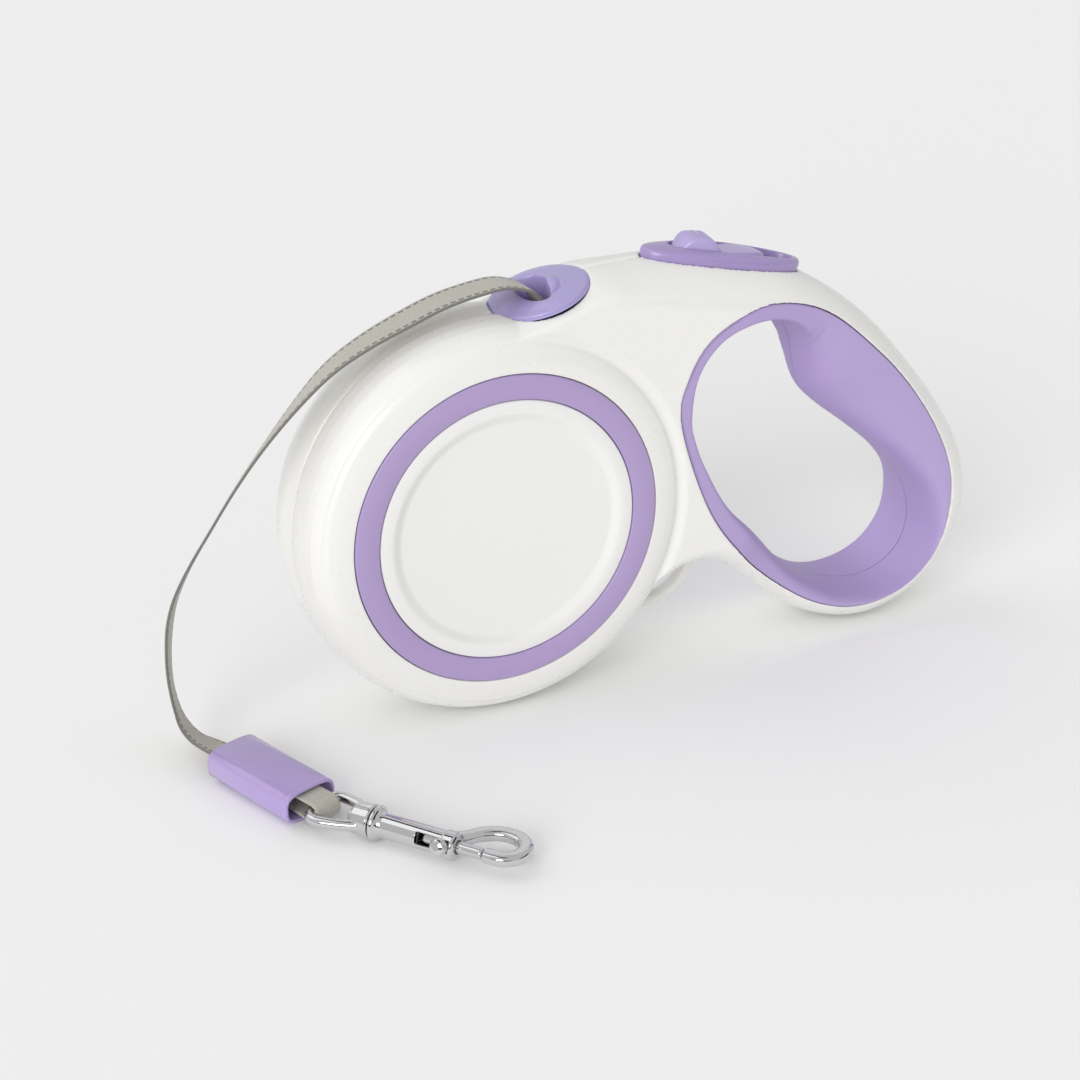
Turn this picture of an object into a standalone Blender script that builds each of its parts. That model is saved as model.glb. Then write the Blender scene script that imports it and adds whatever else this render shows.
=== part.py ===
"""Retractable tape leash: reel housing with hand opening, brake button, tape, sleeve and bolt snap.

Run with: blender --background --python part.py
Lengths below are millimetres. The x and z values are measured from the reel's axis, y from the
parting plane between the two shells; world() turns them into metres with the origin on the floor,
under the middle of the housing. X runs from the nozzle end to the handle, -Y is the left side.
"""
import math

import bmesh
import bpy
import numpy as np
from mathutils import Vector

# ---------------------------------------------------------------- driving dimensions (mm)
MM = 0.001
GAP = 0.3                  # clearance between neighbouring pieces
SPLIT = 0.15               # each shell stops this far from the parting plane

DRUM_R = 58.6              # reel housing radius, also its height above the floor
HANDLE_BACK = 164.9        # furthest point of the handle from the reel's axis
FACE_Y = 19.0              # half thickness over the side discs
WEB_Y = 17.6               # half thickness of the flat web and the handle
WALL = 2.2
CAVITY_Y = 14.6            # half width of the space inside

POCKET_R = 46.1            # round recess for the ring and the disc
POCKET_Y = 16.6
RING_OUT, RING_IN, RING_Y = 45.8, 38.8, 19.3
DISC_R, DISC_STEP_R, DISC_FLAT_R = 38.5, 34.4, 30.7
DISC_RECESS_Y = 18.0

ARC_X, ARC_Z, ARC_R = 52.0, -62.0, 130.0     # circle that the housing's top follows

FLANGE_R, FLANGE_IN_Y, FLANGE_OUT_Y = 45.9, 7.2, 8.6
TOOTH_COUNT, TOOTH_DEPTH = 24, 2.6
TOOTH_PHASE = math.radians(4.7)              # leaves a gap under the pawl's tip at rest
HUB_R, HUB_WALL = 22.2, 1.8
AXLE_R = 3.0
BUSH_R = 4.6

TAPE_W, TAPE_T = 12.0, 0.8
TAPE_LENGTH_M = 5.0        # whole tape, most of it wound on the reel
TAPE_PACKED_T = 0.55       # thickness of one wound turn

NOZZLE_X, NOZZLE_Z, NOZZLE_SLOPE = 17.57, 62.05, math.radians(18.9)
NOZZLE_A, NOZZLE_B = 14.1, 15.7              # half length along the housing, half width across

BEZEL_S, BEZEL_LEN, BEZEL_W = 24.2, 26.2, 9.3        # arc position, half length, half width
OPEN_S, OPEN_LEN, OPEN_W = 27.0, 20.4, 6.3
THUMB_S, THUMB_LEN, THUMB_W = 22.8, 15.2, 5.9
BEZEL_CROWN = 2.2          # drop of the bezel's and the button's top from the middle to BEZEL_W

PAWL_X, PAWL_Z = 29.0, 57.0                  # brake pawl pivot
ROLLER_X, ROLLER_Z, ROLLER_R = 17.95, 46.9, 3.8
PIN_R = 1.2

SNAP_START = Vector((-71.3, -46.2, -53.6))   # eye end of the snap's centre line
SNAP_DIR = Vector((0.6, -0.8, 0.0))
SLEEVE_START = Vector((-82.4, -13.8, -53.4))
SLEEVE_END = Vector((-70.5, -45.3, -53.8))
BARREL_END = 45.4          # where the bolt leaves the barrel, along the snap
BOLT_REAR, BOLT_TIP, BOLT_R = 35.8, 52.7, 1.6
BOLT_TRAVEL = 6.5
KNOB_AT = 42.4

# outline of the handle and web: x, z, and the depth of the rounded edge there
OUTLINE = (
    (-16, 46, 5), (-5, 55.2, 5), (5, 58.3, 5), (18, 62.7, 5), (31, 66.8, 6.5), (42, 67.7, 9),
    (54, 68.0, 12), (67, 67.1, 14), (80, 64.9, 15), (92, 61.7, 15.5), (102.6, 57.0, 16),
    (112.6, 51.0, 16), (121.5, 44.4, 16), (130.2, 36.6, 16), (138.8, 27.2, 16), (146.7, 18.0, 16),
    (153.6, 8.8, 16), (159.0, 0.2, 16), (162.7, -7.8, 16), (164.6, -15.6, 16), (164.9, -23.4, 16),
    (163.4, -31.2, 16), (160.2, -38.2, 16), (155.9, -44.4, 15.5), (150.6, -49.6, 15),
    (144.2, -54.0, 14.5), (137.0, -57.0, 14), (129.2, -58.5, 13), (121.2, -58.2, 12),
    (113.4, -56.2, 11), (106.2, -53.2, 10.5), (98.6, -48.4, 10), (88.0, -39.6, 9),
    (77.0, -31.0, 8), (68.5, -27.2, 8), (60.5, -26.6, 7), (53.0, -29.4, 7), (42, -36, 7),
    (20, -46, 6), (-8, -49.5, 6), (-34, -36, 6), (-49, -6, 6), (-42, 26, 6))

# outer edge of the grip inlay and edge of the hand opening
EGG = (
    (54.8, 22), (57.0, 36), (64.5, 46.6), (78.5, 53), (92, 52.5), (106, 47), (120, 36),
    (134.2, 22), (145.5, 6), (151.6, -8.5), (152.6, -22), (149.2, -36.4), (139.2, -46.4),
    (123, -50.2), (107, -46.6), (92, -37.3), (77, -23.4), (64.5, -5.5))
HOLE = (
    (59.0, 22.5), (60.6, 35), (67.5, 44), (77, 47.8), (87, 47.8), (95, 44.6), (99.6, 38.2),
    (101.8, 29), (104.6, 20.8), (111, 13.3), (122, 3.8), (134, -7), (142.8, -18), (146.4, -29.5),
    (143.9, -38.4), (136.8, -44.0), (126.6, -45.4), (113, -41.6), (98, -31.9), (85, -20),
    (72.5, -7.5), (64, 6.8), (60.2, 16))
GRIP_CENTRE = (92.0, 10.0)

# route of the free tape: x, y, z of its middle, and the direction of its width
TAPE_ROUTE = (
    ((20.3, 0.0, 53.6), (0, 1, 0)),
    ((17.3, 0.0, 59.6), (0, 1, 0)),
    ((14.0, 0.0, 63.3), (0, 1, 0)),
    ((7.4, 0.0, 65.5), (0, 1, 0)),
    ((0.6, -0.4, 65.5), (-0.05, 1, 0)),
    ((-11.8, -1.0, 63.4), (-0.03, 1, 0)),
    ((-23.6, -1.2, 59.3), (0, 1, 0)),
    ((-34.8, -1.2, 54.6), (0.04, 1, -0.06)),
    ((-44.8, -1.0, 48.7), (0.12, 1, -0.12)),
    ((-54.4, -0.6, 39.8), (0.25, 1, -0.19)),
    ((-63.8, 0.2, 29.0), (0.38, 1, -0.22)),
    ((-71.8, 1.2, 18.2), (0.44, 1, -0.21)),
    ((-79.2, 2.4, 6.8), (0.47, 1, -0.18)),
    ((-84.6, 3.6, -2.0), (0.51, 1, -0.13)),
    ((-88.6, 4.9, -10.2), (0.54, 1, -0.05)),
    ((-90.8, 6.2, -17.6), (0.52, 1, 0.07)),
    ((-91.8, 7.6, -26.0), (0.44, 1, 0.09)),
    ((-92.2, 8.3, -34.6), (0.36, 1, 0)),
    ((-92.0, 7.6, -42.4), (0.32, 1, -0.2)),
    ((-91.2, 5.2, -48.2), (0.46, 1, -0.57)),
    ((-89.6, 1.2, -51.8), (0.98, 1, -0.93)),
    ((-87.2, -3.4, -53.2), (1.64, 1, -0.91)),
    ((-84.8, -8.2, -53.5), (2.1, 1, -0.85)),
    ((-82.8, -12.9, -53.4), (2.4, 1, -0.84)))

# housing screws: x, z, how far their post reaches from the parting plane, where the head seats
SCREW_SPOTS = ((50.0, 50.0, 15.6, 8.0), (60.8, -18.4, 15.6, 8.0), (148.0, -45.2, 6.4, 3.0),
               (-47.6, 21.0, 15.0, 8.0), (-33.0, -40.4, 15.0, 8.0), (17.5, -49.0, 15.0, 8.0))
POST_R, PILOT_R, SHANK_R, HEAD_R = 3.8, 1.5, 1.2, 2.6

WHITE = ((0.86, 0.86, 0.84), 0.34, 0.0)
LAVENDER = ((0.43, 0.34, 0.58), 0.42, 0.0)
SOFT_LAVENDER = ((0.42, 0.34, 0.57), 0.55, 0.0)
INNER_PLASTIC = ((0.55, 0.55, 0.53), 0.5, 0.0)
DARK_PLASTIC = ((0.08, 0.08, 0.09), 0.5, 0.0)
STEEL = ((0.62, 0.62, 0.64), 0.3, 1.0)
CHROME = ((0.80, 0.80, 0.81), 0.1, 1.0)
SPRING_STEEL = ((0.35, 0.36, 0.38), 0.35, 1.0)
BRASS = ((0.72, 0.55, 0.28), 0.35, 1.0)
WEBBING = ((0.50, 0.48, 0.42), 0.85, 0.0)


# ---------------------------------------------------------------- helpers
def clear_scene():
    for old in list(bpy.data.objects):
        bpy.data.objects.remove(old, do_unlink=True)


def world(point):
    """Design millimetres to world metres."""
    x_mid = (HANDLE_BACK - DRUM_R) / 2
    x, y, z = point
    return Vector(((x - x_mid) * MM, y * MM, (z + DRUM_R) * MM))


def material(name, look):
    made = bpy.data.materials.get(name)
    if made:
        return made
    colour, roughness, metallic = look
    made = bpy.data.materials.new(name)
    made.use_nodes = True
    shader = made.node_tree.nodes["Principled BSDF"]
    shader.inputs["Base Color"].default_value = (*colour, 1.0)
    shader.inputs["Roughness"].default_value = roughness
    shader.inputs["Metallic"].default_value = metallic
    return made


def finish_object(name, bm, look, origin=(0, 0, 0), sharp=35):
    """Turn a bmesh in design millimetres into a named object whose origin is at origin."""
    bmesh.ops.remove_doubles(bm, verts=bm.verts, dist=1e-4)
    bmesh.ops.recalc_face_normals(bm, faces=bm.faces)
    place = world(origin)
    for vert in bm.verts:
        vert.co = world(vert.co) - place
    mesh = bpy.data.meshes.new(name)
    bm.to_mesh(mesh)
    bm.free()
    mesh.shade_smooth()
    mesh.set_sharp_from_angle(angle=math.radians(sharp))
    obj = bpy.data.objects.new(name, mesh)
    obj.location = place
    obj.data.materials.append(material(name + "_material", look))
    bpy.context.scene.collection.objects.link(obj)
    return obj


def make_cutter(obj):
    obj.hide_render = True
    obj.display_type = 'WIRE'
    return obj


def boolean(obj, other, operation, solver='EXACT'):
    modifier = obj.modifiers.new(operation.lower(), 'BOOLEAN')
    modifier.operation = operation
    modifier.object = make_cutter(other)
    modifier.solver = solver


def add_loft(bm, loops, closed=False):
    """Join loops of equal length with quads; the ends are capped, or joined if closed."""
    rings = [[bm.verts.new(p) for p in loop] for loop in loops]
    count = len(rings[0])
    pairs = list(zip(rings, rings[1:]))
    if closed:
        pairs.append((rings[-1], rings[0]))
    for low, high in pairs:
        for i in range(count):
            j = (i + 1) % count
            bm.faces.new((low[i], low[j], high[j], high[i]))
    if not closed:
        bm.faces.new(rings[0])
        bm.faces.new(rings[-1])


def add_turned(bm, profile, centre=(0, 0), steps=48, closed=False):
    """Spin a profile of (radius, y) round the Y axis through centre (x, z)."""
    cx, cz = centre
    verts = [bm.verts.new((cx + r, y, cz)) for r, y in profile]
    edges = [bm.edges.new(pair) for pair in zip(verts, verts[1:])]
    if closed:
        edges.append(bm.edges.new((verts[-1], verts[0])))
    bmesh.ops.spin(bm, geom=verts + edges, cent=(cx, 0, cz), axis=(0, 1, 0),
                   angle=2 * math.pi, steps=steps, use_merge=True)
    bmesh.ops.remove_doubles(bm, verts=bm.verts, dist=1e-4)


def turned(name, profile, look, centre=(0, 0), steps=48, closed=False):
    bm = bmesh.new()
    add_turned(bm, profile, centre, steps, closed)
    return finish_object(name, bm, look, origin=(centre[0], 0, centre[1]))


def washer_profile(r_in, r_out, y_low, y_high):
    return ((r_in, y_low), (r_out, y_low), (r_out, y_high), (r_in, y_high))


def add_plug(bm, centre, radius, y_low, y_high, steps=16):
    add_turned(bm, ((0, y_low), (radius, y_low), (radius, y_high), (0, y_high)), centre, steps)


def add_prism(bm, outline, y_low, y_high):
    """Extrude an outline of (x, z) points from y_low to y_high."""
    add_loft(bm, [[(x, y, z) for x, z in outline] for y in (y_low, y_high)])


def smooth_closed(points, count):
    """Points on a closed Catmull-Rom curve through the given points, evenly spread."""
    pts = np.array(points, float)
    total = len(pts)
    dense = []
    for i in range(total):
        p0, p1, p2, p3 = (pts[(i + k - 1) % total] for k in range(4))
        for t in np.linspace(0, 1, 12, endpoint=False):
            dense.append(0.5 * (2 * p1 + (p2 - p0) * t + (2 * p0 - 5 * p1 + 4 * p2 - p3) * t ** 2
                                + (3 * p1 - p0 - 3 * p2 + p3) * t ** 3))
    dense = np.array(dense)
    ring = np.vstack([dense, dense[:1]])
    reach = np.concatenate([[0], np.cumsum(np.linalg.norm(np.diff(ring[:, :2], axis=0), axis=1))])
    targets = np.linspace(0, reach[-1], count, endpoint=False)
    return np.stack([np.interp(targets, reach, ring[:, k]) for k in range(pts.shape[1])], 1)


def smooth_open(points, count):
    """Points on an open Catmull-Rom curve through the given points, evenly spread."""
    pts = np.array(points, float)
    pts = np.vstack([2 * pts[0] - pts[1], pts, 2 * pts[-1] - pts[-2]])
    dense = []
    for p0, p1, p2, p3 in zip(pts, pts[1:], pts[2:], pts[3:]):
        for t in np.linspace(0, 1, 12, endpoint=False):
            dense.append(0.5 * (2 * p1 + (p2 - p0) * t + (2 * p0 - 5 * p1 + 4 * p2 - p3) * t ** 2
                                + (3 * p1 - p0 - 3 * p2 + p3) * t ** 3))
    dense = np.array(dense + [pts[-2]])
    reach = np.concatenate([[0], np.cumsum(np.linalg.norm(np.diff(dense[:, :3], axis=0), axis=1))])
    targets = np.linspace(0, reach[-1], count)
    return np.stack([np.interp(targets, reach, dense[:, k]) for k in range(pts.shape[1])], 1)


def inward_normals(outline):
    """Unit normals towards the inside of a closed clockwise outline of (x, z)."""
    ahead = np.roll(outline[:, :2], -1, axis=0) - np.roll(outline[:, :2], 1, axis=0)
    ahead /= np.linalg.norm(ahead, axis=1)[:, None]
    return np.stack([ahead[:, 1], -ahead[:, 0]], 1)


def polar_points(curve, angles):
    """Where rays from the grip's centre at the given angles meet a closed curve."""
    rel = curve[:, :2] - np.array(GRIP_CENTRE)
    bearing = np.arctan2(rel[:, 1], rel[:, 0])
    order = np.argsort(bearing)
    bearing, rel = bearing[order], rel[order]
    reach = np.hypot(rel[:, 0], rel[:, 1])
    reach = np.interp(angles, bearing, reach, period=2 * math.pi)
    return np.stack([GRIP_CENTRE[0] + reach * np.cos(angles),
                     GRIP_CENTRE[1] + reach * np.sin(angles)], 1)


def offset_from_grip(points, distance):
    """Move points straight away from the grip's centre by a distance."""
    centre = np.array(GRIP_CENTRE)
    reach = np.linalg.norm(points - centre, axis=1)
    return centre + (points - centre) * ((reach + distance) / reach)[:, None]


def sweep(bm, centres, sides, ups, section):
    """Sweep a section of (side, up) points along centres; both ends are capped."""
    loops = []
    for c, side, up in zip(centres, sides, ups):
        loops.append([tuple(c + side * a + up * b) for a, b in section])
    add_loft(bm, loops)


def frames_along(centres, hints):
    """Side and up vectors for a sweep; side stays as near to each hint as it can."""
    ahead = np.gradient(centres, axis=0)
    ahead /= np.linalg.norm(ahead, axis=1)[:, None]
    side = hints - (hints * ahead).sum(1)[:, None] * ahead
    side /= np.linalg.norm(side, axis=1)[:, None]
    return side, np.cross(ahead, side)


def circle_section(radius, count=8):
    return [(radius * math.cos(2 * math.pi * i / count), radius * math.sin(2 * math.pi * i / count))
            for i in range(count)]


def oval(half_a, half_b, count, power=2.0):
    """Points of a superellipse."""
    points = []
    for i in range(count):
        t = 2 * math.pi * i / count
        c, s = math.cos(t), math.sin(t)
        points.append((half_a * math.copysign(abs(c) ** (2 / power), c),
                       half_b * math.copysign(abs(s) ** (2 / power), s)))
    return points


def on_arc(s, y, h):
    """Point at arc length s along the housing's top, y across and h above it."""
    turn = s / ARC_R
    return (ARC_X + (ARC_R + h) * math.sin(turn), y, ARC_Z + (ARC_R + h) * math.cos(turn))


# ---------------------------------------------------------------- housing
SHELL_SOLVER = 'MANIFOLD'                   # the exact solver leaves slits in the two shells
BODY_COUNT = 66
EDGE_STEPS = 4
BODY = smooth_closed(OUTLINE, BODY_COUNT)
BODY_IN = inward_normals(BODY)
FINE_OUTLINE = smooth_closed(OUTLINE, 600)
EGG_CURVE = smooth_closed(EGG, 144)
HOLE_CURVE = smooth_closed(HOLE, 184)


def body_loops(side, shrink, half_y, y_mid):
    """Loops of the handle and web from the parting plane out to the flat side."""
    loops = []
    for k in range(EDGE_STEPS + 1):
        turn = 0.5 * math.pi * k / EDGE_STEPS
        depth = shrink + np.maximum(BODY[:, 2] - shrink, 1.5) * (1 - math.cos(turn))
        y = max(half_y * math.sin(turn), y_mid)
        points = BODY[:, :2] + BODY_IN * depth[:, None]
        loops.append([(x, side * y, z) for x, z in points])
    return loops


def surface_half_width(x, z):
    """Half thickness of the rounded handle at a place inside its outline."""
    gaps = np.hypot(FINE_OUTLINE[:, 0] - x, FINE_OUTLINE[:, 1] - z)
    near = int(np.argmin(gaps))
    rounding = FINE_OUTLINE[near, 2]
    depth = min(gaps[near], rounding)
    return WEB_Y * math.sqrt(1 - ((rounding - depth) / rounding) ** 2)


def shell_solid(side):
    bm = bmesh.new()
    add_loft(bm, body_loops(side, 0.0, WEB_Y, SPLIT))
    return bm


def drum_profile(side):
    outer = ((0, SPLIT), (57.2, SPLIT), (DRUM_R, 4.0), (58.2, 9.4), (56.4, 14.8), (53.6, 17.6),
             (47.6, FACE_Y), (0, FACE_Y))
    return [(r, side * y) for r, y in outer]


def cavity(side):
    """Space inside one shell, open at the parting plane and kept clear of the hand opening."""
    over = -1.0
    bm = bmesh.new()
    loops = body_loops(side, WALL, CAVITY_Y, SPLIT)
    loops.insert(0, [(x, side * over, z) for x, _, z in loops[0]])
    add_loft(bm, loops)
    space = finish_object("cavity", bm, INNER_PLASTIC)
    bm = bmesh.new()
    profile = ((0, over), (56.2, over), (56.0, 7.0), (53.2, 13.0), (46.0, CAVITY_Y), (0, CAVITY_Y))
    add_turned(bm, [(r, side * y) for r, y in profile], steps=48)
    boolean(space, finish_object("reel_space", bm, INNER_PLASTIC), 'UNION')
    bm = bmesh.new()
    angles = np.linspace(-math.pi, math.pi, 48, endpoint=False)
    add_prism(bm, offset_from_grip(polar_points(EGG_CURVE, angles), 2.4), side * -2.0,
              side * (FACE_Y + 2))
    boolean(space, finish_object("opening_wall", bm, INNER_PLASTIC), 'DIFFERENCE')
    return space


def screw_posts(side):
    bm = bmesh.new()
    for x, z, top, _ in SCREW_SPOTS:
        add_plug(bm, (x, z), POST_R, side * (SPLIT + 0.1), side * top, 14)
    add_plug(bm, (0, 0), 6.6, side * 10.6, side * (CAVITY_Y + 1.0), 20)
    for spot in ((ROLLER_X, ROLLER_Z), (PAWL_X, PAWL_Z)):
        add_plug(bm, spot, 2.8, side * 10.6, side * (CAVITY_Y + 1.0), 12)
    return finish_object("posts", bm, INNER_PLASTIC)


def shell(side, name):
    body = finish_object(name, shell_solid(side), WHITE)
    bm = bmesh.new()
    add_turned(bm, drum_profile(side), steps=56)
    boolean(body, finish_object("drum", bm, WHITE), 'UNION', SHELL_SOLVER)
    boolean(body, cavity(side), 'DIFFERENCE', SHELL_SOLVER)
    boolean(body, screw_posts(side), 'UNION', SHELL_SOLVER)
    cut_shell(body, side)
    return body


def cut_shell(body, side):
    far = FACE_Y + 2
    bm = bmesh.new()
    angles = np.linspace(-math.pi, math.pi, 60, endpoint=False)
    add_prism(bm, polar_points(EGG_CURVE, angles), side * -2.0, side * far)
    add_plug(bm, (0, 0), POCKET_R, side * POCKET_Y, side * far, 56)
    boolean(body, finish_object("face_cuts", bm, WHITE), 'DIFFERENCE', SHELL_SOLVER)
    bm = bmesh.new()
    add_plug(bm, (0, 0), AXLE_R + GAP, 0, side * 14.3, 20)
    for spot in ((ROLLER_X, ROLLER_Z), (PAWL_X, PAWL_Z)):
        add_plug(bm, spot, PIN_R + GAP, side * 8.0, side * 14.3, 12)
    for x, z, top, seat in SCREW_SPOTS:
        add_screw_hole(bm, (x, z), side, top, seat)
    boolean(body, finish_object("bores", bm, WHITE), 'DIFFERENCE', SHELL_SOLVER)
    bm = bmesh.new()
    outline = oval(BEZEL_LEN + GAP, BEZEL_W + GAP, 32, 2.2)
    add_loft(bm, [[on_arc(BEZEL_S + a, b, h) for a, b in outline] for h in (-7.5, 9.0)])
    boolean(body, finish_object("button_hole", bm, WHITE), 'DIFFERENCE', SHELL_SOLVER)
    bm = bmesh.new()
    outline = oval(NOZZLE_A + GAP, NOZZLE_B + GAP, 28)
    inner = oval(12.0, 13.6, 28)
    add_loft(bm, [[nozzle_point(a, b, h) for a, b in ring]
                  for ring, h in ((inner, -9.0), (inner, -3.6), (outline, -1.4), (outline, 8.0))])
    boolean(body, finish_object("nozzle_hole", bm, WHITE), 'DIFFERENCE', SHELL_SOLVER)


def add_screw_hole(bm, spot, side, top, seat):
    """Blind pilot hole in the left shell, through hole with a head recess in the right one."""
    if side < 0:
        add_plug(bm, spot, PILOT_R, 1.0, 1.4 - top, 12)
        return
    shank, head, far = SHANK_R + GAP, HEAD_R + GAP, FACE_Y + 2
    add_turned(bm, ((0, -1.0), (shank, -1.0), (shank, seat), (head, seat), (head, far), (0, far)),
               spot, 12)


def nozzle_point(a, b, h):
    """Point in the nozzle's own frame: a along its slope, b across, h out of the housing."""
    c, s = math.cos(NOZZLE_SLOPE), math.sin(NOZZLE_SLOPE)
    return (NOZZLE_X + a * c - h * s, b, NOZZLE_Z + a * s + h * c)


def housing():
    shell(-1, "left_shell")
    right = shell(1, "right_shell")
    bar = smooth_open(((69.5, 2.8, -25.4), (69.6, 2.8, -31.5), (66.0, 2.8, -37.6),
                       (59.4, 2.8, -41.6), (52.0, 2.8, -42.2), (44.6, 2.8, -37.4)), 14)
    side, up = frames_along(bar, np.tile((0.0, 1.0, 0.0), (len(bar), 1)))
    bm = bmesh.new()
    sweep(bm, bar, side, up, oval(2.4, 1.7, 10, 2.6))
    boolean(right, finish_object("loop_bar", bm, WHITE), 'UNION', SHELL_SOLVER)
    for side, word in ((-1, "left"), (1, "right")):
        inlays(side, word)
    screws()


def inlays(side, word):
    ring = ((RING_IN, side * (POCKET_Y + GAP)), (RING_OUT, side * (POCKET_Y + GAP)),
            (RING_OUT, side * 18.9), (RING_OUT - 0.5, side * RING_Y), (RING_IN + 0.5, side * RING_Y),
            (RING_IN, side * 18.9))
    turned(word + "_ring_inlay", ring, LAVENDER, steps=56, closed=True)
    disc = ((0, side * (POCKET_Y + GAP)), (DISC_R, side * (POCKET_Y + GAP)), (DISC_R, side * 18.8),
            (DISC_R - 0.3, side * FACE_Y), (DISC_STEP_R, side * FACE_Y), (33.6, side * 18.7),
            (32.8, side * 18.2), (DISC_FLAT_R, side * DISC_RECESS_Y), (0, side * DISC_RECESS_Y))
    turned(word + "_side_disc", disc, WHITE, steps=48)
    grip_half(side, word)


def grip_fullness(angle):
    """Exponent of the grip's section: sharp edged on the thin rim, rounded under the fingers."""
    degrees = math.degrees(angle)
    if -80 <= degrees <= 70:
        return 2.1
    if 70 < degrees < 78:
        return 2.1 + (degrees - 70) * 0.9
    if -130 < degrees < -80:
        return 2.1 + (-80 - degrees) * 0.12
    return 9.0


def grip_half(side, word):
    """One half of the soft inlay that lines the hand opening."""
    angles = np.radians(np.concatenate([np.arange(-180, 64, 8), np.arange(64, 88, 4),
                                        np.arange(88, 180, 8)]))
    egg = offset_from_grip(polar_points(EGG_CURVE, angles), -GAP)
    hole = polar_points(HOLE_CURVE, angles)
    stations = (0.0, 0.3, 0.6, 0.82, 0.95, 1.0)
    loops = [[(x, side * SPLIT, z) for x, z in egg]]
    for u in stations:
        loop = []
        for angle, (ex, ez), (hx, hz) in zip(angles, egg, hole):
            power = grip_fullness(angle)
            rise = (1 - u ** power) ** (1 / power)
            y = SPLIT + (surface_half_width(ex, ez) - 0.3 - SPLIT) * rise
            loop.append((ex + (hx - ex) * u, side * y, ez + (hz - ez) * u))
        loops.append(loop)
    bm = bmesh.new()
    add_loft(bm, loops, closed=True)
    finish_object(word + "_grip_inlay", bm, SOFT_LAVENDER)


def screws():
    """Self-tapping screws driven in from the right side."""
    for number, (x, z, top, seat) in enumerate(SCREW_SPOTS, 1):
        seat += GAP
        tip = 2.0 - top
        profile = ((0, tip), (SHANK_R, tip + 1.2), (SHANK_R, seat), (HEAD_R, seat),
                   (HEAD_R, seat + 1.4), (1.9, seat + 2.0), (0.9, seat + 2.0), (0.9, seat + 1.2),
                   (0, seat + 1.2))
        turned("housing_screw_%d" % number, profile, STEEL, (x, z), steps=10)


# ---------------------------------------------------------------- reel
def wound_radius():
    """Outer radius of the wound tape, from the area that its turns fill."""
    area = TAPE_LENGTH_M / MM * TAPE_PACKED_T
    return math.sqrt((HUB_R + GAP) ** 2 + area / math.pi)


def toothed_outline():
    points = []
    for i in range(TOOTH_COUNT):
        base = TOOTH_PHASE + 2 * math.pi * i / TOOTH_COUNT
        step = 2 * math.pi / TOOTH_COUNT
        for part, radius in ((0.0, FLANGE_R), (0.3, FLANGE_R), (0.34, FLANGE_R - TOOTH_DEPTH),
                             (0.78, FLANGE_R - TOOTH_DEPTH)):
            angle = base + part * step
            points.append((radius * math.cos(angle), radius * math.sin(angle)))
    return points


def reel():
    bm = bmesh.new()
    add_prism(bm, toothed_outline(), -FLANGE_OUT_Y, -FLANGE_IN_Y)
    spool = finish_object("reel_spool", bm, INNER_PLASTIC)
    bm = bmesh.new()
    add_turned(bm, washer_profile(HUB_R - HUB_WALL, HUB_R, -FLANGE_IN_Y - 0.6, 7.0),
               steps=36, closed=True)
    boolean(spool, finish_object("hub_tube", bm, INNER_PLASTIC), 'UNION')
    bm = bmesh.new()
    add_plug(bm, (0, 0), BUSH_R + GAP, -12, -4, 20)
    boolean(spool, finish_object("spool_bore", bm, INNER_PLASTIC), 'DIFFERENCE')
    turned("reel_right_flange", washer_profile(HUB_R - HUB_WALL, FLANGE_R - 1, 7.3, 8.5),
           INNER_PLASTIC, steps=48, closed=True)
    turned("spring_cover", washer_profile(BUSH_R + GAP, HUB_R - HUB_WALL - GAP, 7.3, 8.5),
           INNER_PLASTIC, steps=36, closed=True)
    turned("wound_tape", washer_profile(HUB_R + GAP, wound_radius(), -6.0, 6.0),
           WEBBING, steps=48, closed=True)
    for side, word in ((-1, "left"), (1, "right")):
        turned(word + "_bush", washer_profile(AXLE_R + GAP, BUSH_R, side * 7.3, side * 8.5),
               BRASS, steps=24, closed=True)
    turned("reel_axle", ((0, -14.0), (AXLE_R - 0.4, -14.0), (AXLE_R, -13.6), (AXLE_R, 13.6),
                         (AXLE_R - 0.4, 14.0), (0, 14.0)), STEEL, steps=24)
    mainspring()


def mainspring():
    """Flat spiral between the axle and the inside of the hub."""
    turns, per_turn = 5, 14
    inner, outer = AXLE_R + 1.2, HUB_R - HUB_WALL - 1.2
    total = turns * per_turn
    half = 0.28
    bm = bmesh.new()
    loops = []
    for i in range(total + 1):
        angle = 2 * math.pi * i / per_turn
        r = inner + (outer - inner) * i / total
        c, s = math.cos(angle), math.sin(angle)
        loops.append([((r + dr) * c, y, (r + dr) * s)
                      for dr, y in ((-half, -6.2), (half, -6.2), (half, 6.2), (-half, 6.2))])
    add_loft(bm, loops)
    finish_object("mainspring", bm, SPRING_STEEL)


# ---------------------------------------------------------------- tape guide
def tape_tangent():
    """Point on the wound tape where the tape leaves it towards the nozzle."""
    radius = wound_radius() + GAP + TAPE_T / 2
    x, z = TAPE_ROUTE[0][0][0], TAPE_ROUTE[0][0][2]
    reach = math.hypot(x, z)
    angle = math.atan2(z, x) - math.acos(radius / reach)
    return radius * math.cos(angle), radius * math.sin(angle)


def tape_guide():
    start = tape_tangent()
    low = np.array((start[0], 0.0, start[1]))
    high = np.array(TAPE_ROUTE[0][0])
    ahead = (high - low) / np.linalg.norm(high - low)
    centres = np.array([low, high - ahead * GAP])
    side, up = frames_along(centres, np.tile((0.0, 1.0, 0.0), (2, 1)))
    bm = bmesh.new()
    sweep(bm, centres, side, up, flat_section())
    finish_object("inner_tape", bm, WEBBING)
    turned("guide_roller", washer_profile(PIN_R + GAP, ROLLER_R, -6.6, 6.6), DARK_PLASTIC,
           (ROLLER_X, ROLLER_Z), steps=20, closed=True)
    pin("guide_roller_pin", (ROLLER_X, ROLLER_Z))
    nozzle()


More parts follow.
